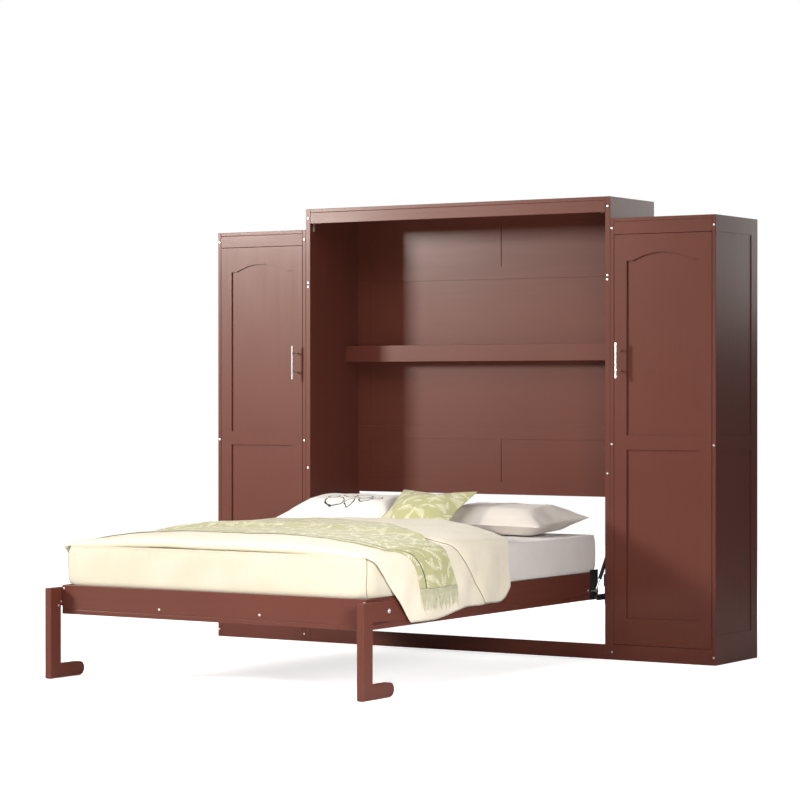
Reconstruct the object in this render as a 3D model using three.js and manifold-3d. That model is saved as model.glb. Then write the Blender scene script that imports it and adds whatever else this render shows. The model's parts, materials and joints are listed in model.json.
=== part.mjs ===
// Murphy wall bed: a queen bed that folds up between two wardrobes, drawn open.
// Millimetres. X runs along the wall, Y towards the wall, Z up from the floor.
import * as THREE from "three";
import { mergeVertices } from "three/addons/utils/BufferGeometryUtils.js";
import { RoundedBoxGeometry } from "three/addons/geometries/RoundedBoxGeometry.js";
import Module from "manifold-3d";

const wasm = await Module();
wasm.setup();

// ---------- driving dimensions ----------
const GAP = 0.3; // the paper-thin joint left between pieces that touch
const EASE = 1.6; // rounding of every board's edges
const DEPTH = 457; // cabinets, front plane at Y = 0
const CENTRE_HEIGHT = 2188;
const SIDE_HEIGHT = 2084;
const BAY_HALF = 842; // half the clear width that the bed folds into
const BAY_PANEL = 27;
const WARDROBE_IN = BAY_HALF + BAY_PANEL + GAP;
const WARDROBE_OUT = 1418;
const INNER_SIDE = 19.7;
const OUTER_SIDE = 18;
const BOARD = 18;
const BASE_HEIGHT = 73;
const FASCIA_BOTTOM = 2114; // centre unit
const SIDE_FASCIA_BOTTOM = 2006;
const WARDROBE_BACK = 6;
const WARDROBE_SHELF = 1008.5;

const SHELF_FRONT = 326;
const SHELF_TOP = 1501;
const SHELF_APRON = 84;
const BACK_FRONT = 439;
const BACK_BOTTOM = 748;
const LOWER_JOINT = 1089; // seams between the three back boards
const UPPER_JOINT = 1832;
const BACK_RAIL = 63;
const BACK_STILE = 76;
const BACK_CENTRE_STILE = 36;
const RECESS = 3;

const DOOR_GAP = 2;
const DOOR_THICK = 20;
const STILE = 65;
const DOOR_LOW_RAIL = 125;
const MID_RAIL = [992.5, 1060];
const ARCH_SPRING = 1880;
const ARCH_RISE = 38;
const ARCH_SHOULDER = 32;
const PANEL_INSET = 8; // how far the door's panels lie behind its face
const PANEL_THICK = 6;
const PANEL_LAP = 9; // how far a panel reaches behind its frame
const HANDLE_X = 922;
const HANDLE_Z = 1412;
const HANDLE_LENGTH = 168;
const HANDLE_POSTS = 96;
const HANDLE_STANDOFF = 44;

const BED_HALF = 802;
const BED_FOOT = -2006; // outer face of the foot rail
const BED_HEAD = -2;
const FACE_BOTTOM = 284; // the bed's underside is the closed cabinet's front
const FACE_THICK = 20;
const RAIL_TOP = 412;
const RAIL = 18;
const BATTEN_X = 265;
const BATTEN_HEIGHT = 42;
const LEG_INNER = 804;
const LEG_THICK = 34;
const LEG_FRONT = -2081;
const LEG_BAR = 70;
const LEG_ARM = 80;
const LEG_FOOT = 60;
const LEG_TOP = 400;
const LEG_BOTTOM = 3;
const LEG_PIVOT = [-1888, 360]; // [Y, Z], as every pivot below

const ARM_PIVOT = [168.7, 296];
const BED_PIVOT = [-51, 296];
const ARM_WIDTH = 28;
const ARM_LAYER = [829, 835];
const PIN_RADIUS = 6;
const STRUT_TOP = [241, 722];
const STRUT_FOOT = [-45, 325];
const STRUT_X = 817;
const CYLINDER_RADIUS = 9;
const CYLINDER_LENGTH = 420;
const BORE_RADIUS = 6;
const ROD_RADIUS = 4;
const ROD_LENGTH = 240;
const BRACKET_THICK = 4;

const SLAT_ROOM = 13; // left between the battens and the mattress
const MATTRESS_TOP = 562;
const MATTRESS_HALF = 798;
const DUVET_TOP = 591;
const DUVET_HALF = 820;
const DUVET_SPAN = [-1960, -720];
const DRAPE_SPAN = [-1700, -880];
const DRAPE_HEM = 418;
const THROW_THICK = 4;
const THROW_SPAN = [-1840, -1262];

// ---------- finishes ----------
function finish(color, roughness, metalness = 0) {
  return new THREE.MeshStandardMaterial({ color, roughness, metalness });
}
const lacquer = finish(0x6e3a33, 0.3);
const nickel = finish(0xc9c9c6, 0.25, 1);
const blackSteel = finish(0x1c1a1a, 0.4, 0.8);
const cream = finish(0xf1e9d2, 0.9);
const sage = finish(0xb3bd8a, 0.9);
const linen = finish(0xd9d2c8, 0.9);

// ---------- geometry helpers ----------
// The unit stands centred on its own footprint, so the whole tree is moved by half the two overhangs.
const model = new THREE.Group();
model.position.y = -(LEG_FRONT + DEPTH) / 2;

function add(name, geometry, material, x = 0, y = 0, z = 0) {
  const mesh = new THREE.Mesh(geometry, material);
  mesh.name = name;
  mesh.position.set(x, y, z);
  model.add(mesh);
  return mesh;
}

function toSolid(geometry) {
  const bare = geometry.clone();
  bare.deleteAttribute("normal");
  bare.deleteAttribute("uv");
  const merged = mergeVertices(bare, 1e-4);
  return new wasm.Manifold(
    new wasm.Mesh({
      numProp: 3,
      vertProperties: new Float32Array(merged.attributes.position.array),
      triVerts: new Uint32Array(merged.index.array),
    }),
  );
}

function toGeometry(solid) {
  const made = solid.getMesh();
  const geometry = new THREE.BufferGeometry();
  geometry.setAttribute("position", new THREE.BufferAttribute(made.vertProperties, 3));
  geometry.setIndex(new THREE.BufferAttribute(made.triVerts, 1));
  geometry.computeVertexNormals();
  return geometry;
}

function joined(...geometries) {
  return toGeometry(geometries.map(toSolid).reduce((all, next) => all.add(next)));
}

function cut(geometry, ...tools) {
  return toGeometry(tools.map(toSolid).reduce((left, tool) => left.subtract(tool), toSolid(geometry)));
}

// A box between two corners, in place; a rounded one where a radius is given.
function block([x0, x1], [y0, y1], [z0, z1], radius = 0) {
  const size = [Math.abs(x1 - x0), y1 - y0, z1 - z0];
  const box = radius ? new RoundedBoxGeometry(...size, 1, radius) : new THREE.BoxGeometry(...size);
  return box.translate((x0 + x1) / 2, (y0 + y1) / 2, (z0 + z1) / 2);
}

// A board with eased edges, centred on its own mesh.
function board(name, [x0, x1], [y0, y1], [z0, z1], material = lacquer) {
  const size = [Math.abs(x1 - x0), y1 - y0, z1 - z0];
  const geometry = new RoundedBoxGeometry(...size, 1, EASE);
  return add(name, geometry, material, (x0 + x1) / 2, (y0 + y1) / 2, (z0 + z1) / 2);
}

// An outline drawn as (X, Z), standing upright and running from Y = front towards the wall.
function upright(shape, front, thick, curveSegments = 12) {
  const geometry = new THREE.ExtrudeGeometry(shape, { depth: thick, bevelEnabled: false, curveSegments });
  return geometry.rotateX(Math.PI / 2).translate(0, front + thick, 0);
}

// An outline drawn as (Y, Z), running from X = x0 to x1.
const sideways = new THREE.Matrix4().makeBasis(
  new THREE.Vector3(0, 1, 0),
  new THREE.Vector3(0, 0, 1),
  new THREE.Vector3(1, 0, 0),
);
function across(shape, x0, x1, bevel = 0) {
  const low = Math.min(x0, x1);
  const geometry = new THREE.ExtrudeGeometry(shape, {
    depth: Math.abs(x1 - x0) - 2 * bevel,
    bevelEnabled: bevel > 0,
    bevelThickness: bevel,
    bevelSize: bevel,
    bevelOffset: -bevel,
    bevelSegments: 1,
    curveSegments: 8,
  });
  return geometry.applyMatrix4(sideways).translate(low + bevel, 0, 0);
}

function pin(radius, x0, x1, y = 0, z = 0, segments = 20) {
  const geometry = new THREE.CylinderGeometry(radius, radius, Math.abs(x1 - x0), segments);
  return geometry.rotateZ(Math.PI / 2).translate((x0 + x1) / 2, y, z);
}

function rectangle(x0, x1, z0, z1) {
  const shape = new THREE.Shape();
  shape.moveTo(x0, z0).lineTo(x1, z0).lineTo(x1, z1).lineTo(x0, z1).closePath();
  return shape;
}

const SIDES = [
  ["left", -1],
  ["right", 1],
];

// ---------- centre unit ----------
const clearHalf = BAY_HALF - GAP;
for (const [name, side] of SIDES) {
  const span = [side * BAY_HALF, side * (BAY_HALF + BAY_PANEL)];
  board(`${name}_side_panel`, span, [0, DEPTH], [0, CENTRE_HEIGHT]);
}
board("top_board", [-clearHalf, clearHalf], [0, DEPTH], [CENTRE_HEIGHT - BOARD, CENTRE_HEIGHT]);
board("top_fascia", [-clearHalf, clearHalf], [0, BOARD], [FASCIA_BOTTOM, CENTRE_HEIGHT - BOARD - GAP]);
board("base_rail", [-clearHalf, clearHalf], [0, BOARD + 4], [0, BASE_HEIGHT - 3]);

// The shelf is a board with a deep front lip.
const shelfSpan = [-clearHalf, clearHalf];
const shelfBoard = block(shelfSpan, [SHELF_FRONT, BACK_FRONT - GAP], [SHELF_TOP - BOARD, SHELF_TOP], EASE);
const lipDepth = [SHELF_FRONT, SHELF_FRONT + BOARD];
const shelfLip = block(shelfSpan, lipDepth, [SHELF_TOP - SHELF_APRON, SHELF_TOP], EASE);
add("shelf", joined(shelfBoard, shelfLip), lacquer);

// Three back boards, milled on the face with sunk fields that leave rails and stiles standing.
function backBoard(name, z0, z1, fields) {
  const blank = block([-clearHalf, clearHalf], [BACK_FRONT, DEPTH], [z0, z1]);
  const mills = fields.map(([x0, x1, low, high]) => {
    return block([x0, x1], [BACK_FRONT - 1, BACK_FRONT + RECESS], [low, high]);
  });
  add(name, mills.length ? cut(blank, ...mills) : blank, lacquer);
}
const fieldOut = BAY_HALF - BACK_STILE;
const fieldIn = BACK_CENTRE_STILE / 2;
const roof = CENTRE_HEIGHT - BOARD - GAP;
backBoard("back_upper_board", UPPER_JOINT + GAP, roof, [
  [-fieldOut, -fieldIn, UPPER_JOINT + BACK_RAIL, roof - BACK_RAIL],
  [fieldIn, fieldOut, UPPER_JOINT + BACK_RAIL, roof - BACK_RAIL],
]);
backBoard("back_middle_board", LOWER_JOINT + GAP, UPPER_JOINT, [
  [-fieldOut, fieldOut, LOWER_JOINT + 2, UPPER_JOINT - 2],
]);
backBoard("back_lower_board", BACK_BOTTOM, LOWER_JOINT, [
  [-fieldOut, -fieldIn, BACK_BOTTOM + BACK_RAIL, LOWER_JOINT - BACK_RAIL],
  [fieldIn, fieldOut, BACK_BOTTOM + BACK_RAIL, LOWER_JOINT - BACK_RAIL],
]);

// ---------- wardrobes ----------
const insideFrom = WARDROBE_IN + INNER_SIDE + GAP;
const insideTo = WARDROBE_OUT - OUTER_SIDE - GAP;
const backFront = DEPTH - WARDROBE_BACK;

// The outer side shows a frame round two sunk fields.
function outerSide(name, side) {
  const span = [side * (WARDROBE_OUT - OUTER_SIDE), side * WARDROBE_OUT];
  const blank = block(span, [0, DEPTH], [0, SIDE_HEIGHT], EASE);
  const skin = [side * (WARDROBE_OUT - 3), side * (WARDROBE_OUT + 1)];
  const high = block(skin, [46, 388], [MID_RAIL[1], SIDE_FASCIA_BOTTOM]);
  const low = block(skin, [46, 388], [BASE_HEIGHT + STILE, MID_RAIL[0]]);
  add(name, cut(blank, high, low), lacquer);
}

// A window outline, grown outwards all round by lap; the upper one has an arch between flat shoulders.
function windowOutline(x0, x1, z0, z1, lap, arched) {
  if (!arched) return rectangle(x0 - lap, x1 + lap, z0 - lap, z1 + lap);
  const half = (x1 - x0) / 2 - ARCH_SHOULDER;
  const radius = (half * half + ARCH_RISE * ARCH_RISE) / (2 * ARCH_RISE);
  const middle = (x0 + x1) / 2;
  const centre = z1 + ARCH_RISE - radius;
  const reach = Math.acos(Math.min(1, (z1 - centre) / radius));
  const shape = new THREE.Shape();
  shape.moveTo(x0 - lap, z0 - lap).lineTo(x1 + lap, z0 - lap).lineTo(x1 + lap, z1 + lap);
  shape.lineTo(middle + (radius + lap) * Math.sin(reach), centre + (radius + lap) * Math.cos(reach));
  shape.absarc(middle, centre, radius + lap, Math.PI / 2 - reach, Math.PI / 2 + reach, false);
  shape.lineTo(x0 - lap, z1 + lap).closePath();
  return shape;
}

const doorFrom = insideFrom + DOOR_GAP;
const doorTo = insideTo - DOOR_GAP;
const doorLow = BASE_HEIGHT + DOOR_GAP;
const doorHigh = SIDE_FASCIA_BOTTOM - DOOR_GAP;

function door(name, side) {
  const outline = rectangle(doorFrom, doorTo, doorLow, doorHigh);
  const [x0, x1] = [doorFrom + STILE, doorTo - STILE];
  const windows = [
    [MID_RAIL[1], ARCH_SPRING, true, `${name}_door_upper_panel`],
    [doorLow + DOOR_LOW_RAIL, MID_RAIL[0], false, `${name}_door_lower_panel`],
  ];
  const rebate = DOOR_THICK - PANEL_INSET + GAP + 1;
  const mills = [];
  for (const [z0, z1, arched, panelName] of windows) {
    outline.holes.push(windowOutline(x0, x1, z0, z1, 0, arched));
    mills.push(upright(windowOutline(x0, x1, z0, z1, PANEL_LAP, arched), PANEL_INSET - GAP, rebate));
    const panel = windowOutline(x0, x1, z0, z1, PANEL_LAP - GAP, arched);
    const slab = upright(panel, PANEL_INSET, PANEL_THICK);
    add(panelName, mirrored(slab, side), lacquer);
  }
  const frame = cut(upright(outline, 0, DOOR_THICK), ...mills);
  add(`${name}_door_frame`, mirrored(frame, side), lacquer);
}

// Reflects a piece drawn for the right-hand side on to the left, keeping its faces outward.
function mirrored(geometry, side) {
  if (side > 0) return geometry;
  const flipped = (geometry.index ? geometry.toNonIndexed() : geometry.clone()).scale(-1, 1, 1);
  const position = flipped.attributes.position;
  for (let i = 0; i < position.count; i += 3) {
    const [x, y, z] = [position.getX(i), position.getY(i), position.getZ(i)];
    position.setXYZ(i, position.getX(i + 1), position.getY(i + 1), position.getZ(i + 1));
    position.setXYZ(i + 1, x, y, z);
  }
  flipped.computeVertexNormals();
  return flipped;
}

// A round bar on two posts.
function handle(name, side) {
  const bar = new THREE.CylinderGeometry(6, 6, HANDLE_LENGTH, 16).rotateX(Math.PI / 2);
  const pieces = [bar.translate(0, -HANDLE_STANDOFF, 0)];
  for (const end of [-1, 1]) {
    const post = new THREE.CylinderGeometry(5, 5, HANDLE_STANDOFF - GAP, 16);
    pieces.push(post.translate(0, -(HANDLE_STANDOFF + GAP) / 2, (end * HANDLE_POSTS) / 2));
  }
  add(name, joined(...pieces), nickel, side * HANDLE_X, 0, HANDLE_Z);
}

for (const [name, side] of SIDES) {
  const inside = [side * insideFrom, side * insideTo];
  const innerSide = [side * WARDROBE_IN, side * (insideFrom - GAP)];
  board(`${name}_wardrobe_inner_side`, innerSide, [0, DEPTH], [0, SIDE_HEIGHT]);
  outerSide(`${name}_wardrobe_outer_side`, side);
  board(`${name}_wardrobe_top`, inside, [0, backFront - GAP], [SIDE_HEIGHT - BOARD, SIDE_HEIGHT]);
  board(`${name}_wardrobe_fascia`, inside, [0, BOARD], [SIDE_FASCIA_BOTTOM, SIDE_HEIGHT - BOARD - GAP]);
  board(`${name}_wardrobe_shelf`, inside, [32, backFront - GAP], [WARDROBE_SHELF, WARDROBE_SHELF + BOARD]);
  board(`${name}_wardrobe_floor`, inside, [BOARD + GAP, backFront - GAP], [BASE_HEIGHT - BOARD, BASE_HEIGHT]);
  board(`${name}_wardrobe_plinth`, inside, [0, BOARD], [0, BASE_HEIGHT]);
  board(`${name}_wardrobe_back`, inside, [backFront, DEPTH], [20, SIDE_HEIGHT]);
  door(name, side);
  handle(`${name}_door_handle`, side);
}

// ---------- bed frame ----------
const railLow = FACE_BOTTOM + FACE_THICK + GAP;
const railIn = BED_HALF - RAIL;
board("bed_face_panel", [-BED_HALF, BED_HALF], [BED_FOOT, BED_HEAD], [FACE_BOTTOM, FACE_BOTTOM + FACE_THICK]);
board("bed_foot_rail", [-BED_HALF, BED_HALF], [BED_FOOT, BED_FOOT + RAIL], [railLow, RAIL_TOP]);
board("bed_head_rail", [GAP - railIn, railIn - GAP], [BED_HEAD - RAIL, BED_HEAD], [railLow, RAIL_TOP - 12]);
for (const [name, side] of SIDES) {
  const footEnd = BED_FOOT + RAIL + GAP;
  board(`bed_${name}_rail`, [side * railIn, side * BED_HALF], [footEnd, BED_HEAD], [railLow, RAIL_TOP]);
  const batten = [side * BATTEN_X - 20, side * BATTEN_X + 20];
  board(`bed_${name}_batten`, batten, [footEnd, BED_HEAD - RAIL - GAP], [railLow, railLow + BATTEN_HEIGHT]);
}

// ---------- legs ----------
// A leg is a square-cornered C: an upright bar in front, an arm and a foot with full-round ends behind.
function legOutline() {
  const [pivotY, pivotZ] = LEG_PIVOT;
  const front = LEG_FRONT - pivotY;
  const top = LEG_TOP - pivotZ;
  const low = LEG_BOTTOM - pivotZ;
  const back = front + LEG_BAR;
  const footRadius = LEG_FOOT / 2;
  const shape = new THREE.Shape();
  shape.moveTo(front, low).lineTo(LEG_ARM / 2 - footRadius, low);
  shape.absarc(LEG_ARM / 2 - footRadius, low + footRadius, footRadius, -Math.PI / 2, Math.PI / 2, false);
  shape.lineTo(back, low + LEG_FOOT).lineTo(back, top - LEG_ARM).lineTo(0, top - LEG_ARM);
  shape.absarc(0, top - LEG_ARM / 2, LEG_ARM / 2, -Math.PI / 2, Math.PI / 2, false);
  shape.lineTo(front, top).closePath();
  return shape;
}
for (const [name, side] of SIDES) {
  const leg = across(legOutline(), side * LEG_INNER, side * (LEG_INNER + LEG_THICK), EASE);
  add(`${name}_leg`, leg, lacquer, 0, ...LEG_PIVOT);
}

// ---------- folding gear ----------
// Flat bars carry the bed's head; gas struts beside them take its weight.
function barOutline(length, width) {
  const shape = new THREE.Shape();
  shape.absarc(0, 0, width / 2, -Math.PI / 2, Math.PI / 2, false);
  shape.absarc(-length, 0, width / 2, Math.PI / 2, (3 * Math.PI) / 2, false);
  shape.closePath();
  return shape;
}
const armLength = ARM_PIVOT[0] - BED_PIVOT[0];
const plateIn = BAY_HALF - GAP - BRACKET_THICK;
const bracketIn = BED_HALF + GAP;
const bracketOut = bracketIn + BRACKET_THICK;
const strutBoss = [STRUT_FOOT[0] - BED_PIVOT[0], STRUT_FOOT[1] - BED_PIVOT[1]];
const strutUp = Math.atan2(STRUT_TOP[1] - STRUT_FOOT[1], STRUT_TOP[0] - STRUT_FOOT[0]);

for (const [name, side] of SIDES) {
  const x = (value) => side * value;
  const bar = across(barOutline(armLength, ARM_WIDTH), x(ARM_LAYER[0]), x(ARM_LAYER[1]));
  const hole = PIN_RADIUS + GAP;
  const holes = [0, -armLength].map((y) => pin(hole, x(ARM_LAYER[0] - 1), x(ARM_LAYER[1] + 1), y));
  add(`${name}_swing_arm`, cut(bar, ...holes), blackSteel, 0, ...ARM_PIVOT);

  const plate = block([x(plateIn), x(BAY_HALF - GAP)], [5 - ARM_PIVOT[0], 46], [-34, 106]);
  const stop = block([x(plateIn - 5), x(BAY_HALF - GAP)], [5 - ARM_PIVOT[0], 23 - ARM_PIVOT[0]], [49, 106]);
  const armPin = pin(PIN_RADIUS, x(ARM_LAYER[0] - 2), x(plateIn + 1));
  add(`${name}_arm_plate`, joined(plate, stop, armPin), blackSteel, 0, ...ARM_PIVOT);

  const strap = block([x(bracketIn), x(bracketOut)], [-24, 48], [FACE_BOTTOM - BED_PIVOT[1], 129]);
  const bedPin = pin(PIN_RADIUS, x(bracketOut - 1), x(ARM_LAYER[1] + 1));
  const boss = pin(8, x(bracketOut - 1), x(STRUT_X - CYLINDER_RADIUS - GAP), ...strutBoss);
  add(`${name}_bed_bracket`, joined(strap, bedPin, boss), blackSteel, 0, ...BED_PIVOT);

  const base = block([x(plateIn), x(BAY_HALF - GAP)], [-20, 20], [-32, 32]);
  const stud = pin(5, x(STRUT_X + CYLINDER_RADIUS + GAP), x(plateIn + 1));
  add(`${name}_strut_mount`, joined(base, stud), blackSteel, 0, ...STRUT_TOP);

  // The cylinder hangs from its eye and is bored from below; the rod runs in the bore.
  // Both are turned round Y and then tilted up from +Y towards +Z, to the strut's own line.
  const profile = [
    [0, -60],
    [BORE_RADIUS, -60],
    [BORE_RADIUS, -CYLINDER_LENGTH],
    [CYLINDER_RADIUS, -CYLINDER_LENGTH],
    [CYLINDER_RADIUS, -8],
    [0, -8],
  ];
  const tube = new THREE.LatheGeometry(profile.map(([radius, y]) => new THREE.Vector2(radius, y)), 16);
  tube.rotateX(strutUp).translate(x(STRUT_X), 0, 0);
  const topEye = pin(11, x(STRUT_X - CYLINDER_RADIUS), x(STRUT_X + CYLINDER_RADIUS));
  add(`${name}_strut_cylinder`, joined(tube, topEye), blackSteel, 0, ...STRUT_TOP);

  const rod = new THREE.CylinderGeometry(ROD_RADIUS, ROD_RADIUS, ROD_LENGTH, 12);
  rod.translate(0, ROD_LENGTH / 2, 0).rotateX(strutUp).translate(x(STRUT_X), 0, 0);
  const lowEye = pin(10, x(STRUT_X - CYLINDER_RADIUS + GAP), x(STRUT_X + CYLINDER_RADIUS - GAP));
  add(`${name}_strut_rod`, joined(rod, lowEye), nickel, 0, ...STRUT_FOOT);
}

// ---------- mattress and bedding ----------
const overRail = RAIL_TOP + GAP + 1;
const coreLow = railLow + BATTEN_HEIGHT + SLAT_ROOM;
const coreSpan = [BED_FOOT + RAIL + 3, BED_HEAD - RAIL - 3];
const core = block([6 - railIn, railIn - 6], coreSpan, [coreLow, overRail + 40], 8);
const crown = block([-MATTRESS_HALF, MATTRESS_HALF], [BED_FOOT + 12, 22], [overRail, MATTRESS_TOP], 28);
add("mattress", joined(core, crown), cream);

// A cover lies on the top and hangs over both sides.
function cover(name, material, half, top, thick, topSpan, drapeSpan, hem) {
  const slab = block([-half, half], topSpan, [top - thick, top], Math.min(8, thick / 2 - 0.1));
  const drapes = SIDES.map(([, side]) => {
    return block([side * (half - Math.min(thick, 21)), side * half], drapeSpan, [hem, top - 2]);
  });
  add(name, joined(slab, ...drapes), material);
}
const duvetThick = DUVET_TOP - MATTRESS_TOP - GAP;
cover("duvet", cream, DUVET_HALF, DUVET_TOP, duvetThick, DUVET_SPAN, DRAPE_SPAN, DRAPE_HEM);
const overDuvet = GAP + THROW_THICK;
const throwSize = [DUVET_HALF + overDuvet, DUVET_TOP + overDuvet, THROW_THICK];
cover("throw_blanket", sage, ...throwSize, THROW_SPAN, THROW_SPAN, DRAPE_HEM + 2);

for (const [name, side] of SIDES) {
  const pillow = new RoundedBoxGeometry(715, 445, 128, 3, 60);
  add(`${name}_pillow`, pillow, linen, side * 418, -208, MATTRESS_TOP + GAP + 64.2);
}
const cushion = new RoundedBoxGeometry(480, 380, 54, 3, 26).rotateX(THREE.MathUtils.degToRad(17.5));
add("green_cushion", cushion, sage, 100, -488, 693);

export default model;
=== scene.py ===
# %% [markdown]
# # A wall bed, folded down between its wardrobes
# The cabinet, doors, bed frame, legs and folding gear arrive as finished solids from the workshop model.
# This lesson dresses them: lacquer and metal finishes, the small hardware, and then everything soft.
# Nothing that the workshop made is moved. Each new piece is told which moving body it travels with.
# %% Load the workshop model
import json
import math

import bmesh
import bpy
import numpy as np
from mathutils import Matrix, Vector, noise
from mathutils.bvhtree import BVHTree


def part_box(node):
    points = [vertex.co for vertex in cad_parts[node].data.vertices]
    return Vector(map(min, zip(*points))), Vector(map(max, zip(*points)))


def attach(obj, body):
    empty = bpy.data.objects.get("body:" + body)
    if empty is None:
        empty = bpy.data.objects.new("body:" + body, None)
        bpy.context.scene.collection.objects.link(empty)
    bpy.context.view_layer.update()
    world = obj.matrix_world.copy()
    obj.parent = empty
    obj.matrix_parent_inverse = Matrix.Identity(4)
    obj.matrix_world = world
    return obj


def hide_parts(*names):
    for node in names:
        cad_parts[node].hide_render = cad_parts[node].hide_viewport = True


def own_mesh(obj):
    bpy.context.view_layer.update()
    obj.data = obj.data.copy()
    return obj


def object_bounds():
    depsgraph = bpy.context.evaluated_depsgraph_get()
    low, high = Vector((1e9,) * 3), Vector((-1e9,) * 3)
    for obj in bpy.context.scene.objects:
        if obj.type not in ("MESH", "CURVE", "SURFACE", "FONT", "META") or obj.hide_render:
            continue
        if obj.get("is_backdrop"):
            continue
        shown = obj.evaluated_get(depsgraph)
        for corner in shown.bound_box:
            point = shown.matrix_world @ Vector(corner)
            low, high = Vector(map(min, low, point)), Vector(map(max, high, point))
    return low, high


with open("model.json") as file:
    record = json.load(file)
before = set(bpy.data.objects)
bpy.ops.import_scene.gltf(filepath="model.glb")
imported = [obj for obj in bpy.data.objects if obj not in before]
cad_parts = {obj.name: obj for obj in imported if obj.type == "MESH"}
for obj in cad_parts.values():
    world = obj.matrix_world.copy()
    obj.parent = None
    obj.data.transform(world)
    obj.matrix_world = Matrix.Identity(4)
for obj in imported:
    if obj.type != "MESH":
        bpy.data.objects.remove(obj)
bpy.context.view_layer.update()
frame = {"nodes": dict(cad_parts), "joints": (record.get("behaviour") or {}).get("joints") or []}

SIDES = {"left": -1, "right": 1}
MM = 0.001

# %% [markdown]
# ## Camera
# A tall cabinet looks best from well back with a long lens: the uprights stay parallel and the bed still
# reads as long. The camera stands a little to the right of the bed's foot, at about table height. Its aim
# is level, so almost no tilt is needed. It is placed from the cabinet's front plane.
# %% Camera
front_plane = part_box("left_side_panel")[0].y
camera_data = bpy.data.cameras.new("camera")
camera_data.lens = 120.85
camera = bpy.data.objects.new("camera", camera_data)
camera.location = (6.811, front_plane - 11.238, 1.272)
camera.rotation_euler = (math.radians(89.74), 0, math.radians(32.34))
camera_data.shift_y = 0.003
camera_data.clip_end = 60
bpy.context.scene.collection.objects.link(camera)
bpy.context.scene.camera = camera
print("camera stands", round(front_plane - camera.location.y, 2), "m in front of the cabinet")

# %% [markdown]
# ## Studio lights
# Large panels give soft shadows. The main one stands at the front left, only a little above the fascia: it
# rakes across the doors, so the lacquer shows a long soft sheen, and the left side panel throws a shadow on
# the back boards. A weaker one overhead lifts the bedding, one behind keeps the back readable, and a narrow
# one low on the right fills the near side of the bed. `spread` narrows a panel's beam, as a grid would.
# %% Lights
def panel_light(name, place, target, width, height, power, colour, spread=180):
    data = bpy.data.lights.new(name, "AREA")
    data.shape = "RECTANGLE"
    data.size = width
    data.size_y = height
    data.energy = power
    data.spread = math.radians(spread)
    data.color = colour
    light = bpy.data.objects.new(name, data)
    light.location = place
    light.rotation_euler = (Vector(target) - Vector(place)).to_track_quat("-Z", "Y").to_euler()
    bpy.context.scene.collection.objects.link(light)
    return light


panel_light("key", (-5.6, front_plane - 6.4, 3.2), (0.1, front_plane, 1.3), 1.4, 1.4, 600, (1, 0.95, 0.88))
panel_light("overhead", (0.2, -2.4, 4.4), (0, -1.6, 0.5), 3.6, 3.0, 120, (1, 0.98, 0.95))
panel_light("rear", (1.6, 4.6, 2.8), (0, 1.2, 1.0), 2.4, 2.4, 70, (1, 0.98, 0.95))
panel_light("bedside", (3.4, -3.0, 1.3), (0.4, -0.7, 0.45), 1.2, 0.8, 24, (1, 0.97, 0.94), spread=75)

# %% [markdown]
# ## White surroundings
# The world plays two parts. Seen directly it should be plain white, but as a lamp it should be weak, or the
# right-hand sides of the cabinets would lose their shade. The Light Path node tells the two cases apart,
# and a Mix Shader picks one. The Standard view keeps white as white.
# %% World
world = bpy.data.worlds.new("studio")
world.use_nodes = True
bpy.context.scene.world = world
sky = world.node_tree.nodes
lamp = sky["Background"]
seen = sky.new("ShaderNodeBackground")
either = sky.new("ShaderNodeMixShader")
ray = sky.new("ShaderNodeLightPath")
lamp.inputs["Color"].default_value = (0.92, 0.95, 1, 1)
lamp.inputs["Strength"].default_value = 0.11
seen.inputs["Color"].default_value = (1, 1, 1, 1)
world.node_tree.links.new(ray.outputs["Is Camera Ray"], either.inputs[0])
world.node_tree.links.new(lamp.outputs[0], either.inputs[1])
world.node_tree.links.new(seen.outputs[0], either.inputs[2])
world.node_tree.links.new(either.outputs[0], sky["World Output"].inputs["Surface"])
bpy.context.scene.view_settings.view_transform = "Standard"
print("the world lights at", round(lamp.inputs["Strength"].default_value, 2))

# %% [markdown]
# ## Floor
# A white sweep takes soft shadows near the bed and melts into the background further out. The same trick
# works here: a glow that only the eye sees grows with the distance from the middle, and it doesn't light
# the bed from below.
# %% Floor
def pale_floor():
    """Matt white that turns plain white further out."""
    paint = bpy.data.materials.new("pale_floor")
    paint.use_nodes = True
    nodes, links = paint.node_tree.nodes, paint.node_tree.links
    shader = nodes["Principled BSDF"]
    shader.inputs["Base Color"].default_value = (0.86, 0.86, 0.86, 1)
    shader.inputs["Roughness"].default_value = 0.9
    shader.inputs["Specular IOR Level"].default_value = 0.0
    shader.inputs["Emission Color"].default_value = (1, 1, 1, 1)
    place = nodes.new("ShaderNodeTexCoord")
    far = nodes.new("ShaderNodeVectorMath")
    far.operation = "LENGTH"
    glow = nodes.new("ShaderNodeMapRange")
    glow.interpolation_type = "SMOOTHSTEP"
    glow.inputs["From Min"].default_value = 0.8
    glow.inputs["From Max"].default_value = 5.0
    glow.inputs["To Min"].default_value = 0.72
    glow.inputs["To Max"].default_value = 1.0
    links.new(place.outputs["Object"], far.inputs[0])
    links.new(far.outputs["Value"], glow.inputs["Value"])
    path = nodes.new("ShaderNodeLightPath")
    seen = nodes.new("ShaderNodeMath")
    seen.operation = "MULTIPLY"
    links.new(glow.outputs["Result"], seen.inputs[0])
    links.new(path.outputs["Is Camera Ray"], seen.inputs[1])
    links.new(seen.outputs["Value"], shader.inputs["Emission Strength"])
    return paint


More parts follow.
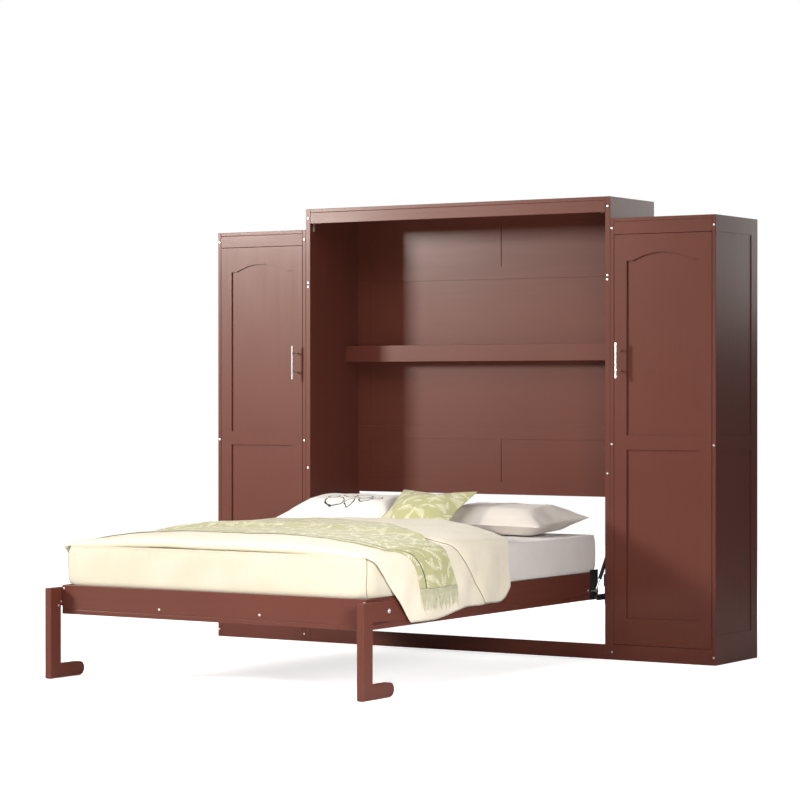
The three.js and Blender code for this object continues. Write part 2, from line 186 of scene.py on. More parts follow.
floor_mesh = bpy.data.meshes.new("floor")
reach = 9.0
floor_mesh.from_pydata(
    [(-reach, -reach, 0), (reach, -reach, 0), (reach, reach, 0), (-reach, reach, 0)], [], [(0, 1, 2, 3)]
)
floor_mesh.materials.append(pale_floor())
floor = bpy.data.objects.new("floor", floor_mesh)
bpy.context.scene.collection.objects.link(floor)
floor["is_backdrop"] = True
print("floor is", 2 * reach, "m across")

# %% [markdown]
# ## How a finish is wired
# A finish in Blender is a small graph: texture nodes feed one Principled shader. Two helpers keep the
# graphs readable. `node` adds a node and plugs its inputs, whether they are numbers or other nodes'
# outputs. `sums` is the same for a single piece of arithmetic.
# %% Node helpers
def new_finish(name):
    finish = bpy.data.materials.new(name)
    finish.use_nodes = True
    return finish, finish.node_tree, finish.node_tree.nodes["Principled BSDF"]


def node(tree, kind, inputs=None, **settings):
    made = tree.nodes.new("ShaderNode" + kind)
    for key, value in settings.items():
        setattr(made, key, value)
    for key, value in (inputs or {}).items():
        socket = made.inputs[key]
        if isinstance(value, bpy.types.NodeSocket):
            tree.links.new(value, socket)
        else:
            socket.default_value = value
    return made


def sums(tree, operation, first, second=0.0, third=None):
    inputs = {0: first, 1: second}
    if third is not None:
        inputs[2] = third
    return node(tree, "Math", inputs, operation=operation).outputs[0]


def blend_colours(tree, amount, first, second):
    mix = node(tree, "Mix", {0: amount, 6: first, 7: second}, data_type="RGBA")
    return mix.outputs[2]


def between(tree, value, low, high):
    spread = node(tree, "MapRange", {"Value": value, "To Min": low, "To Max": high})
    return spread.outputs["Result"]


def rgb(red, green, blue):
    """An everyday 0-255 colour as the linear values that shaders use."""
    linear = [((c / 255 + 0.055) / 1.055) ** 2.4 if c > 10 else c / 255 / 12.92 for c in (red, green, blue)]
    return (*linear, 1)


print("half-bright grey is", round(rgb(128, 128, 128)[0], 3), "in a shader")

# %% [markdown]
# ## Lacquered board
# The real boards are fibreboard with a reddish-brown lacquer: smooth, half glossy, with a trace of brushed
# texture along each board and the fine pebbling that sprayed lacquer dries to. The trace runs along the
# board, so there is one version for upright boards, one for boards along the wall and one for boards
# running out.
# %% Lacquer
def lacquer(name, stretch):
    finish, tree, shader = new_finish(name)
    place = node(tree, "TexCoord").outputs["Object"]
    along = node(tree, "Mapping", {"Vector": place, "Scale": stretch}).outputs[0]
    cloudy = node(tree, "TexNoise", {"Vector": place, "Scale": 2.2, "Detail": 3}).outputs[0]
    streaks = node(
        tree, "TexNoise", {"Vector": along, "Scale": 1.0, "Detail": 5, "Roughness": 0.6}
    ).outputs[0]
    pebble = node(tree, "TexNoise", {"Vector": place, "Scale": 420, "Detail": 2}).outputs[0]
    plain = blend_colours(tree, between(tree, cloudy, 0.2, 0.8), rgb(95, 49, 39), rgb(109, 58, 46))
    colour = blend_colours(tree, between(tree, streaks, 0.0, 0.35), plain, rgb(75, 37, 29))
    tree.links.new(colour, shader.inputs["Base Color"])
    worn = sums(tree, "ADD", between(tree, cloudy, 0.0, 0.10), between(tree, streaks, 0.26, 0.36))
    tree.links.new(worn, shader.inputs["Roughness"])
    grain = node(tree, "Bump", {"Strength": 0.05, "Distance": 0.0006, "Height": streaks}).outputs[0]
    skin = node(
        tree, "Bump", {"Strength": 0.05, "Distance": 0.0003, "Height": pebble, "Normal": grain}
    ).outputs[0]
    tree.links.new(skin, shader.inputs["Normal"])
    shader.inputs["Specular IOR Level"].default_value = 0.24
    shader.inputs["Coat Weight"].default_value = 0.08
    shader.inputs["Coat Roughness"].default_value = 0.14
    return finish


LACQUER = {
    "upright": lacquer("lacquer_upright", (55, 55, 2.5)),
    "along_wall": lacquer("lacquer_along_wall", (2.5, 55, 55)),
    "outward": lacquer("lacquer_outward", (55, 2.5, 55)),
}
print("lacquer versions:", list(LACQUER))

# %% [markdown]
# ## Metals
# Handles and screw heads are satin nickel, which is brushed round: fine scratches run one way and make the
# highlight long. The folding gear is powder-coated steel, matt black with a fine bump. The strut's rod is
# hard chrome, ground so smooth that only faint rings remain.
# %% Nickel, black steel and chrome
def metal(name, colour, rough_low, rough_high, stretch, metallic=1.0, bump=0.1):
    finish, tree, shader = new_finish(name)
    place = node(tree, "TexCoord").outputs["Object"]
    along = node(tree, "Mapping", {"Vector": place, "Scale": stretch}).outputs[0]
    scratches = node(tree, "TexNoise", {"Vector": along, "Scale": 1.0, "Detail": 4}).outputs[0]
    stain = node(tree, "TexNoise", {"Vector": place, "Scale": 30, "Detail": 2}).outputs[0]
    darker = tuple(c * 0.8 for c in colour[:3]) + (1,)
    tree.links.new(blend_colours(tree, stain, colour, darker), shader.inputs["Base Color"])
    tree.links.new(between(tree, scratches, rough_low, rough_high), shader.inputs["Roughness"])
    rise = node(tree, "Bump", {"Strength": bump, "Distance": 0.0002, "Height": scratches}).outputs[0]
    tree.links.new(rise, shader.inputs["Normal"])
    shader.inputs["Metallic"].default_value = metallic
    return finish


NICKEL = metal("satin_nickel", rgb(236, 234, 230), 0.24, 0.42, (900, 900, 60), metallic=0.8)
BLACK_STEEL = metal("black_powder_coat", rgb(34, 32, 33), 0.42, 0.6, (700, 700, 700), metallic=0.0, bump=0.35)
CHROME = metal("hard_chrome", rgb(226, 228, 230), 0.05, 0.14, (40, 900, 900), bump=0.03)
print("metals:", NICKEL.name, BLACK_STEEL.name, CHROME.name)

# %% [markdown]
# ## Finishes for the workshop's own solids
# Each solid keeps its shape and gets its finish here. Long boards are sorted by the way that they run.
# %% Dress the workshop's solids
ALONG_WALL = ("top", "fascia", "shelf", "floor", "plinth", "base", "back_", "foot", "head")
OUTWARD = ("batten", "bed_left_rail", "bed_right_rail", "face_panel")


def finish_for(name):
    if "handle" in name:
        return NICKEL
    if "strut_rod" in name:
        return CHROME
    if any(word in name for word in ("swing_arm", "plate", "bracket", "strut")):
        return BLACK_STEEL
    if any(word in name for word in OUTWARD):
        return LACQUER["outward"]
    if any(word in name for word in ALONG_WALL):
        return LACQUER["along_wall"]
    return LACQUER["upright"]


for name, solid in frame["nodes"].items():
    solid.data.materials.clear()
    solid.data.materials.append(finish_for(name))
    solid.data.shade_smooth()
    solid.data.set_sharp_from_angle(angle=math.radians(32))
print("dressed", len(frame["nodes"]), "solids")

# %% [markdown]
# ## Building a mesh from points
# Every new piece below comes from lists of points and faces. `shape` turns them into a named object, gives
# it a finish, and lets it ride on its body. `gather` joins many small shapes, such as a set of screws, into
# one.
# %% Mesh helpers
def shape(name, points, faces, finish, body, sharp=35, uv=None):
    mesh = bpy.data.meshes.new(name)
    mesh.from_pydata([tuple(p) for p in points], [], [tuple(f) for f in faces])
    mesh.update()
    if uv is not None:
        layer = mesh.uv_layers.new(name="cloth")
        for corner in mesh.loops:
            layer.data[corner.index].uv = uv[corner.vertex_index]
    mesh.materials.append(finish)
    mesh.shade_smooth()
    if sharp:
        mesh.set_sharp_from_angle(angle=math.radians(sharp))
    made = bpy.data.objects.new(name, mesh)
    bpy.context.scene.collection.objects.link(made)
    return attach(made, body) if body else made


def gather(parts):
    points, faces = [], []
    for some_points, some_faces in parts:
        start = len(points)
        points.extend(some_points)
        faces.extend([tuple(i + start for i in face) for face in some_faces])
    return points, faces


# %% [markdown]
# ## Turning and easing
# Screws, washers and hinge cups come off a lathe, so `turned` spins a profile of rings about an axis. Small
# plates and slats are boxes, but no real edge is perfectly sharp, so `eased_box` bevels every edge. The
# eased edge is what catches the light.
# %% Turned and eased pieces
def turned(rings, steps, place, facing):
    """A round piece from (radius, height) rings. A radius may also be a function of the angle."""
    aim = Vector(facing).to_track_quat("Z", "Y").to_matrix().to_4x4()
    move = Matrix.Translation(place) @ aim
    points, faces = [], []
    for radius, height in rings:
        for step in range(steps):
            angle = 2 * math.pi * step / steps
            r = radius(angle) if callable(radius) else radius
            points.append(move @ Vector((r * math.cos(angle), r * math.sin(angle), height)))
    for ring in range(len(rings) - 1):
        for step in range(steps):
            a, b = ring * steps + step, ring * steps + (step + 1) % steps
            faces.append((a, b, b + steps, a + steps))
    faces.append(tuple(reversed(range(steps))))
    faces.append(tuple(range((len(rings) - 1) * steps, len(rings) * steps)))
    return points, faces


def eased_box(low, high, ease):
    """A box whose edges are rounded with two facets."""
    cube = bmesh.new()
    bmesh.ops.create_cube(cube, size=1)
    low, high = Vector(low), Vector(high)
    for corner in cube.verts:
        corner.co = [(low[i] + high[i]) / 2 + corner.co[i] * (high[i] - low[i]) for i in range(3)]
    bmesh.ops.bevel(cube, geom=list(cube.edges), offset=ease, segments=2, affect="EDGES", profile=0.5)
    cube.verts.index_update()
    made = [v.co.copy() for v in cube.verts], [tuple(v.index for v in f.verts) for f in cube.faces]
    cube.free()
    return made


print("an eased box has", len(eased_box((0, 0, 0), (1, 1, 1), 0.1)[1]), "faces")

# %% [markdown]
# ## Screws and bolts
# Flat-pack furniture shows its joints: a bright button head with a hexagon socket wherever a board's end is
# pulled up. The head is a turned profile. The socket is made by letting the inner rings follow a hexagon
# instead of a circle, so no boolean cut is needed.
# %% Screw heads
def hexagon(across):
    return lambda angle: across / 2 / math.cos((angle + math.pi / 6) % (math.pi / 3) - math.pi / 6)


def screw_head(place, facing, radius=5.5 * MM, height=1.6 * MM):
    socket = hexagon(0.85 * radius)
    rings = [(radius, -0.4 * MM), (radius, 0.35 * height), (0.88 * radius, 0.85 * height)]
    rings += [(0.68 * radius, height), (socket, height), (socket, 0.15 * height)]
    return turned(rings, 24, place, facing)


FORWARD = (0, -1, 0)
cabinet_screws = []
for side, sign in SIDES.items():
    fronts = [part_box(f"{side}_wardrobe_{board}_side") for board in ("inner", "outer")]
    heights = [
        sum(c.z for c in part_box(f"{side}_wardrobe_{board}")) / 2 for board in ("fascia", "shelf", "plinth")
    ]
    for low, high in fronts:
        cabinet_screws += [screw_head(((low.x + high.x) / 2, front_plane, z), FORWARD) for z in heights]
    low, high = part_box(f"{side}_side_panel")
    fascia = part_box("top_fascia")
    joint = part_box("back_middle_board")[1].z
    for z in ((fascia[0].z + fascia[1].z) / 2, joint - 0.017, joint - 0.037, 0.879):
        cabinet_screws.append(screw_head(((low.x + high.x) / 2, front_plane, z), FORWARD))
shape("cabinet_screws", *gather(cabinet_screws), NICKEL, "cabinet")

foot_low, foot_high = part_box("bed_foot_rail")
bed_screws = []
for side, sign in SIDES.items():
    batten_low, batten_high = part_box(f"bed_{side}_batten")
    batten = (batten_low + batten_high) / 2
    bed_screws.append(screw_head((batten.x, foot_low.y, batten.z), FORWARD))
    bed_screws.append(screw_head((sign * (foot_high.x - 0.009), foot_low.y, foot_high.z - 0.016), FORWARD))
shape("bed_screws", *gather(bed_screws), NICKEL, "bed")
print(len(cabinet_screws), "cabinet screws,", len(bed_screws), "bed screws")

# %% [markdown]
# ## Leg bolts and felt pads
# Each leg turns on one bolt through the side rail, so its head and washer sit on the outer face. Two more
# heads on the inner face hold the steel liner. A felt pad under the foot takes up the last millimetres to
# the floor.
# %% Leg hardware
leg_pivot = next(j for j in frame["joints"] if j["name"] == "leg_turn")["pos_m"]
leg_bolts, felt_pads = [], []
for side, sign in SIDES.items():
    low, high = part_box(f"{side}_leg")
    outer, inner = (high.x, low.x) if sign > 0 else (low.x, high.x)
    pivot = (outer, leg_pivot[1], leg_pivot[2])
    leg_bolts.append(
        turned([(11 * MM, -0.3 * MM), (11 * MM, 1 * MM), (10 * MM, 1.5 * MM)], 28, pivot, (sign, 0, 0))
    )
    proud = (outer + sign * 0.5 * MM, *pivot[1:])
    leg_bolts.append(screw_head(proud, (sign, 0, 0), 8 * MM, 2.4 * MM))
    for back, drop in ((0.052, 0.078), (0.071, 0.062)):
        spot = (inner, low.y + back, high.z - drop)
        leg_bolts.append(screw_head(spot, (-sign, 0, 0), 4.5 * MM, 1.2 * MM))
    pad_low = (low.x + 3 * MM, low.y + 6 * MM, 0)
    felt_pads.append(eased_box(pad_low, (high.x - 3 * MM, high.y - 26 * MM, low.z + 0.2 * MM), 1 * MM))
shape("leg_bolts", *gather(leg_bolts), NICKEL, "legs")


def felt(name, colour):
    finish, tree, shader = new_finish(name)
    place = node(tree, "TexCoord").outputs["Object"]
    fibre = node(tree, "TexNoise", {"Vector": place, "Scale": 900, "Detail": 6}).outputs[0]
    tree.links.new(blend_colours(tree, fibre, colour, rgb(255, 255, 250)), shader.inputs["Base Color"])
    rise = node(tree, "Bump", {"Strength": 0.6, "Distance": 0.0008, "Height": fibre}).outputs[0]
    tree.links.new(rise, shader.inputs["Normal"])
    shader.inputs["Roughness"].default_value = 0.95
    shader.inputs["Sheen Weight"].default_value = 0.4
    return finish


shape("leg_felt_pads", *gather(felt_pads), felt("pale_felt", rgb(206, 196, 182)), "legs")
print(len(leg_bolts), "pieces of leg hardware,", len(felt_pads), "felt pads")

# %% [markdown]
# ## Pivot nuts on the folding gear
# A swing arm is a flat bar between two pins. Each pin ends in a nylon-locked nut with a washer, which is
# what keeps the bar on. The heads are thin, because the whole gear lives in the gap beside the bed.
# %% Pivot washers
joint_at = {j["name"]: Vector(j.get("pos_m", (0, 0, 0))) for j in frame["joints"]}


def washer(x, y, z, sign, radius, thick):
    rings = [
        (radius, 0), (radius, 0.7 * thick), (0.85 * radius, thick), (0.5 * radius, thick),
        (0.45 * radius, 0.6 * thick)
    ]
    return turned(rings, 24, (x, y, z), (sign, 0, 0))


for body, pin, joint_name in (("cabinet", "arm", "arm_swing"), ("bed", "bed", "bed_fold")):
    rounds = []
    for side, sign in SIDES.items():
        arm_low, arm_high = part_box(f"{side}_swing_arm")
        face = arm_low.x if sign > 0 else arm_high.x
        at = joint_at[joint_name]
        rounds.append(washer(face - sign * 2.4 * MM, at.y, at.z, -sign, 10 * MM, 1.6 * MM))
    shape(f"{pin}_pivot_washers", *gather(rounds), NICKEL, body)
    print(pin, "pivot at", [round(v, 3) for v in at])

# %% [markdown]
# ## Corner braces
# Under the fascia two small angle braces stiffen the front corners. Each is two thin leaves that meet at a
# right angle, with one screw through the upright leaf.
# %% Fascia braces
braces, brace_screws = [], []
for sign in SIDES.values():
    x = sign * (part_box("top_fascia")[1].x - 2 * MM)
    y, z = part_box("top_fascia")[1].y + 3 * MM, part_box("top_fascia")[0].z
    for long, bottom, top in ((2 * MM, z - 40 * MM, z), (34 * MM, z, z + 2 * MM)):
        ends = sorted((x, x - sign * long))
        braces.append(eased_box((ends[0], y, bottom), (ends[1], y + 18 * MM, top), 0.6 * MM))
    brace_screws.append(
        screw_head((x - sign * 2 * MM, y + 9 * MM, z - 26 * MM), (-sign, 0, 0), 4 * MM, 1.4 * MM)
    )
shape("fascia_braces", *gather(braces + brace_screws), NICKEL, "cabinet")
print(len(braces) // 2, "fascia braces")

# %% [markdown]
# ## Slats
# Poplar slats cross from side to side on the battens and carry the mattress. Poplar is pale with a faint
# straight grain, which is noise stretched along the slat.
# %% Slats

def poplar(name):
    finish, tree, shader = new_finish(name)
    place = node(tree, "TexCoord").outputs["Object"]
    along = node(tree, "Mapping", {"Vector": place, "Scale": (2.5, 60, 60)}).outputs[0]
    rings = node(tree, "TexNoise", {"Vector": along, "Scale": 1, "Detail": 6}).outputs[0]
    tree.links.new(
        blend_colours(tree, rings, rgb(226, 200, 158), rgb(186, 150, 106)), shader.inputs["Base Color"]
    )
    rise = node(tree, "Bump", {"Strength": 0.2, "Distance": 0.0005, "Height": rings}).outputs[0]
    tree.links.new(rise, shader.inputs["Normal"])
    shader.inputs["Roughness"].default_value = 0.6
    return finish


batten_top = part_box("bed_left_batten")[1].z
bed_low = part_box("bed_left_rail")[0]
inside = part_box("bed_right_rail")[0].x
slats = []
SLAT_COUNT = 15
slat_from, slat_to = bed_low.y + 0.03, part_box("bed_head_rail")[0].y - 0.03
for step in range(SLAT_COUNT):
    y = slat_from + (slat_to - slat_from - 0.064) * step / (SLAT_COUNT - 1)
    top = batten_top + 12 * MM
    slats.append(
        eased_box((4 * MM - inside, y, batten_top + 0.3 * MM), (inside - 4 * MM, y + 0.064, top), 3 * MM)
    )
shape("slats", *gather(slats), poplar("poplar"), "bed")
print(SLAT_COUNT, "slats")

# %% [markdown]
# ## Door hinges
# Each door hangs on three cup hinges. The cup and its arm are let into the stile and move with the door;
# the plate is screwed to the wardrobe's outer side and stays. They come into sight when a door opens.
# %% Cup hinges
for side, sign in SIDES.items():
    door_low, door_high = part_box(f"{side}_door_frame")
    hinge_x = joint_at[f"{side}_door_hinge"].x
    back = door_high.y
    cups, arms = [], []
    for share in (0.08, 0.5, 0.92):
        z = door_low.z + share * (door_high.z - door_low.z)
        cup_x = hinge_x - sign * 24 * MM
        cups.append(
            turned([(17 * MM, 0), (17 * MM, 1.2 * MM), (15 * MM, 1.6 * MM)], 28, (cup_x, back, z), (0, 1, 0))
        )
        ends = sorted((cup_x, hinge_x - sign * 6 * MM))
        arms.append(
            eased_box((ends[0], back + 1.2 * MM, z - 7 * MM), (ends[1], back + 9 * MM, z + 7 * MM), 2 * MM)
        )
    shape(f"{side}_door_hinge_cups", *gather(cups + arms), NICKEL, f"{side}_door")
    plates = []
    for share in (0.08, 0.5, 0.92):
        z = door_low.z + share * (door_high.z - door_low.z)
        inner_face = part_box(f"{side}_wardrobe_outer_side")[0 if sign > 0 else 1].x
        span = sorted((inner_face - sign * 0.3 * MM, inner_face - sign * 9 * MM))
        plates.append(
            eased_box((span[0], back + 14 * MM, z - 22 * MM), (span[1], back + 62 * MM, z + 22 * MM), 2 * MM)
        )
    shape(f"{side}_hinge_plates", *gather(plates), NICKEL, "cabinet")
    print(side, "door:", len(cups), "pieces in its hinge cups")

# %% [markdown]
# ## Cotton and how it is woven
# Cloth looks like cloth through three scales at once: a weave of crossing threads about a millimetre apart,
# soft creases a few centimetres long, and a faint change of tone over the whole piece. The gaps between the
# threads are also painted a little darker, as painted shade in the weave's hollows. The thread pattern is
# drawn from the piece's own cloth coordinates where it has them, so it stays on the cloth when the cloth
# moves.
# %% Cotton
def weave_of(tree, place, pitch):
    """The height of two crossing sets of threads."""
    warp = node(tree, "TexWave", {"Vector": place, "Scale": 0.314 / pitch}, bands_direction="X").outputs[1]
    weft = node(tree, "TexWave", {"Vector": place, "Scale": 0.314 / pitch}, bands_direction="Y").outputs[1]
    return sums(tree, "MAXIMUM", warp, weft)


def cotton(
    name, colour, shade, pitch=1.1 * MM, crease=0.35, source="UV", print_with=None, print_colour=None,
    line=None
):
    finish, tree, shader = new_finish(name)
    place = node(tree, "TexCoord").outputs[source]
    threads = weave_of(tree, place, pitch)
    cloudy = node(tree, "TexNoise", {"Vector": place, "Scale": 6, "Detail": 4}).outputs[0]
    creases = node(
        tree, "TexNoise", {"Vector": place, "Scale": 11, "Detail": 5, "Distortion": 0.8}
    ).outputs[0]
    base = blend_colours(tree, between(tree, cloudy, 0.0, 1.0), colour, shade)
    # Painted shade: the gaps between the threads are blended up to a tenth of the way towards the shade
    # colour.
    base = blend_colours(tree, between(tree, threads, 0.10, 0.0), base, shade)
    if print_with:
        base = blend_colours(tree, print_with(tree, place), base, print_colour)
    if line:
        base = blend_colours(tree, line(tree, place), base, rgb(38, 42, 30))
    tree.links.new(base, shader.inputs["Base Color"])
    soft = node(tree, "Bump", {"Strength": crease, "Distance": 0.004, "Height": creases}).outputs[0]
    fine = node(
        tree, "Bump", {"Strength": 0.35, "Distance": 0.0004, "Height": threads, "Normal": soft}
    ).outputs[0]
    tree.links.new(fine, shader.inputs["Normal"])
    tree.links.new(between(tree, creases, 0.82, 0.96), shader.inputs["Roughness"])
    shader.inputs["Sheen Weight"].default_value = 0.25
    shader.inputs["Sheen Roughness"].default_value = 0.5
    shader.inputs["Specular IOR Level"].default_value = 0.25
    return finish


print("threads repeat every", cotton.__defaults__[0], "m unless told otherwise")

# %% [markdown]
# ## A printed leaf pattern
# The throw and the small cushion carry the same print: pale fern-like sprigs scattered over green cloth. A
# Voronoi texture scatters the sprigs: each cell gives a centre and a random colour, and the colour turns
# the sprig. Inside a cell the sprig is arithmetic: a curved stem, and pairs of leaflets repeated along it.
# %% One sprig per cell
PAIR_SPACING = 0.125


def sprigs(tree, place, spacing, long, seed):
    moved = node(tree, "Mapping", {"Vector": place, "Location": (seed, 0.37 * seed, 0)}).outputs[0]
    flat = node(tree, "VectorMath", {0: moved, 1: (1, 1, 0)}, operation="MULTIPLY").outputs[0]
    cells = node(
        tree, "TexVoronoi", {"Vector": flat, "Scale": 1 / spacing, "Randomness": 0.8},
        voronoi_dimensions="2D"
    )
    local = node(tree, "VectorMath", {0: flat, 1: cells.outputs["Position"]}, operation="SUBTRACT").outputs[0]
    pick = node(tree, "SeparateColor", {0: cells.outputs["Color"]}).outputs[0]
    turn = node(
        tree, "VectorRotate", {"Vector": local, "Angle": sums(tree, "MULTIPLY", pick, 6.283)},
        rotation_type="Z_AXIS"
    )
    apart = node(tree, "SeparateXYZ", {0: turn.outputs[0]})
    x, y = apart.outputs[0], apart.outputs[1]
    bow = sums(tree, "MULTIPLY", sums(tree, "MULTIPLY", x, x), 7.0)
    away = sums(tree, "ABSOLUTE", sums(tree, "SUBTRACT", y, bow))
    share = sums(tree, "DIVIDE", x, long / 2)
    ends = sums(tree, "SUBTRACT", 1.0, sums(tree, "MULTIPLY", share, share))
    leaf = sums(tree, "MULTIPLY", ends, long * 0.23)
    slanted = sums(tree, "SUBTRACT", x, sums(tree, "MULTIPLY", away, 0.9))
    pair = sums(tree, "FRACT", sums(tree, "DIVIDE", slanted, long * PAIR_SPACING))
    offset = sums(tree, "ABSOLUTE", sums(tree, "SUBTRACT", pair, 0.5))
    along = sums(tree, "DIVIDE", away, sums(tree, "MAXIMUM", leaf, 0.0005))
    belly = sums(tree, "MULTIPLY", sums(tree, "SUBTRACT", 1.0, along), sums(tree, "ADD", along, 0.12))
    leaflet = sums(tree, "LESS_THAN", offset, sums(tree, "MULTIPLY", belly, 0.6))
    stem = sums(tree, "LESS_THAN", away, 0.0009)
    inside = sums(tree, "GREATER_THAN", ends, 0.02)
    return sums(tree, "MULTIPLY", sums(tree, "MAXIMUM", leaflet, stem), inside)


print("each stem carries", round(1 / PAIR_SPACING), "pairs of leaflets")

# %% [markdown]
# Two sizes of sprig overlap, and a fine noise rubs the ink a little, as on washed cloth. The throw also has
# one dark thread woven in beside its foot edge.
# %% Leaf print and border
BORDER_HALF = 0.0036


def leaf_print(tree, place):
    large = sprigs(tree, place, 0.092, 0.088, 0.0)
    small = sprigs(tree, place, 0.060, 0.050, 3.1)
    both = sums(tree, "MAXIMUM", large, small)
    rubbed = node(tree, "TexNoise", {"Vector": place, "Scale": 160, "Detail": 2}).outputs[0]
    kept = between(tree, rubbed, 0.55, 1.0)
    return sums(tree, "MULTIPLY", both, kept)


def border_line(tree, place):
    """A dark line beside the throw's edge, from which the cloth's second coordinate is counted."""
    from_edge = node(tree, "SeparateXYZ", {0: place}).outputs[1]
    off = sums(tree, "ABSOLUTE", sums(tree, "SUBTRACT", from_edge, 0.048))
    return sums(tree, "LESS_THAN", off, BORDER_HALF)


print("the border line is", 2 * BORDER_HALF, "m wide")

# %% [markdown]
# ## The cloths of this bed
# One recipe makes every cloth. Only the colours, the thread spacing, the depth of the creases and the print
# differ. Cloth with its own coordinates uses them; the rest is drawn in the piece's own space.
# %% Cloths
CREAM = rgb(236, 229, 213)
CREAM_SHADE = rgb(224, 214, 192)
GREEN = rgb(192, 188, 144)
GREEN_SHADE = rgb(170, 170, 120)
PALE = rgb(248, 244, 226)
DUVET_COTTON = cotton("duvet_cotton", CREAM, CREAM_SHADE, crease=0.25)
MATTRESS_COTTON = cotton(
    "mattress_cotton", rgb(218, 212, 195), rgb(198, 190, 168), crease=0.3, source="Object"
)
SHEET_COTTON = cotton("sheet_cotton", rgb(232, 228, 224), rgb(216, 212, 208), crease=0.35, source="Object")
THROW_CLOTH = cotton(
    "throw_cloth", GREEN, GREEN_SHADE, 1.6 * MM, 0.2, print_with=leaf_print, print_colour=PALE,
    line=border_line
)
FRINGE_CORD = cotton("fringe_cord", rgb(178, 184, 140), rgb(226, 224, 200), 0.9 * MM, 0.2, source="Object")
CUSHION_CLOTH = cotton(
    "cushion_cloth", GREEN, GREEN_SHADE, 1.6 * MM, 0.3, source="Object", print_with=leaf_print,
    print_colour=PALE
)
print("cloths:", [m.name for m in bpy.data.materials if "cloth" in m.name or "cotton" in m.name])

# %% [markdown]
# ## Mattress
# A foam mattress sits down between the rails and bulges over them. We loft its cover: a rounded-rectangle
# outline is drawn at each height and the outlines are joined into one skin. First the outline, walked round
# at even steps so that every level has the same number of points.
# %% Mattress outline
m_low, m_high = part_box("mattress")
rail_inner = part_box("bed_right_rail")[0].x
rail_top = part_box("bed_right_rail")[1].z
SEAM_Z = m_high.z + 21 * MM
TOP_Z = SEAM_Z + 4 * MM


def rounded_outline(half_x, y0, y1, radius, steps):
    """Points at even distances round a rectangle with rounded corners, from the middle of the foot side."""
    half_y, middle_y = (y1 - y0) / 2, (y0 + y1) / 2
    straight_x, straight_y, arc = 2 * (half_x - radius), 2 * (half_y - radius), math.pi / 2 * radius
    total = 2 * (straight_x + straight_y) + 4 * arc
    legs = [straight_x / 2, arc, straight_y, arc, straight_x, arc, straight_y, arc, straight_x / 2]
    outline = []
    for step in range(steps):
        left, leg = total * step / steps, 0
        while left > legs[leg]:
            left -= legs[leg]
            leg += 1
        corner = [(1, -1), (1, 1), (-1, 1), (-1, -1)][min(leg // 2, 3)]
        if leg % 2:
            angle = -math.pi / 2 + math.pi / 2 * (leg // 2) + left / radius
            x = corner[0] * (half_x - radius) + radius * math.cos(angle)
            y = middle_y + corner[1] * (half_y - radius) + radius * math.sin(angle)
            normal = (math.cos(angle), math.sin(angle))
        else:
            x, y, normal = [
                (left, y0, (0, -1)),
                (half_x, y0 + radius + left, (1, 0)),
                (half_x - radius - left, y1, (0, 1)),
                (-half_x, y1 - radius - left, (-1, 0)),
                (-half_x + radius + left, y0, (0, -1)),
            ][leg // 2]
        outline.append((x, y, *normal))
    return outline


print("mattress solid:", [round(v, 3) for v in m_high - m_low])

# %% [markdown]
# The fitted cover is gathered at the foot, so small vertical tucks run down from a piped seam. Each is a
# narrow groove that fades with the distance below the seam.
# %% Tucks
rng = np.random.default_rng(7)
tucks = np.sort(rng.uniform(-0.79, 0.79, 46))
tuck_depth = rng.uniform(0.8, 3.2, 46) * MM
tuck_reach = rng.uniform(0.03, 0.15, 46)


def tuck(x, below):
    """How far a gather is pressed in, at x and at a distance below the seam."""
    groove = np.exp(-(((x - tucks) / 0.006) ** 2)) * tuck_depth * np.exp(-((below / tuck_reach) ** 2))
    return float(groove.sum())


print(len(tucks), "tucks, deepest", round(tuck_depth.max() / MM, 1), "mm")

# %% [markdown]
# Each level of the loft has a height and says how far it stands out. The cover tucks under the rails' inner
# faces, swells over the rails, pinches in at the seam, and closes flat on top. The head end carries the
# fitted sheet, which is the same skin with a second material.
# %% Loft the mattress
levels = [
    # height, how far the side stands out past the rails' inner faces, inset at the two ends
    (m_low.z, -14, 14), (m_low.z + 3 * MM, -8, 6), (m_low.z + 12 * MM, -5, 3), (rail_top - 2 * MM, -5, 3),
    (rail_top + 1.5 * MM, 8, 0), (rail_top + 6 * MM, 16, -4), (rail_top + 20 * MM, 20, -7),
]
for share in np.linspace(0.16, 0.86, 11):
    bulge = math.sin(math.pi * share)
    levels.append((rail_top + share * (SEAM_Z - rail_top), 20 + 4 * bulge, -7 - 2 * bulge))
levels += [
    (SEAM_Z - 13 * MM, 20, -6), (SEAM_Z - 5 * MM, 18, -4), (SEAM_Z - 2.5 * MM, 16.5, -3), (SEAM_Z, 19, -5.5)
]
levels += [
    (SEAM_Z + 2.4 * MM, 17.5, -4), (SEAM_Z + 2.2 * MM, 15.5, -1), (SEAM_Z + 3 * MM, 10, 3),
    (SEAM_Z + 3.6 * MM, 0, 14)
]
levels += [(SEAM_Z + 4 * MM, -60, 80), (TOP_Z, -200, 220), (TOP_Z, -420, 460), (TOP_Z, -640, 700)]

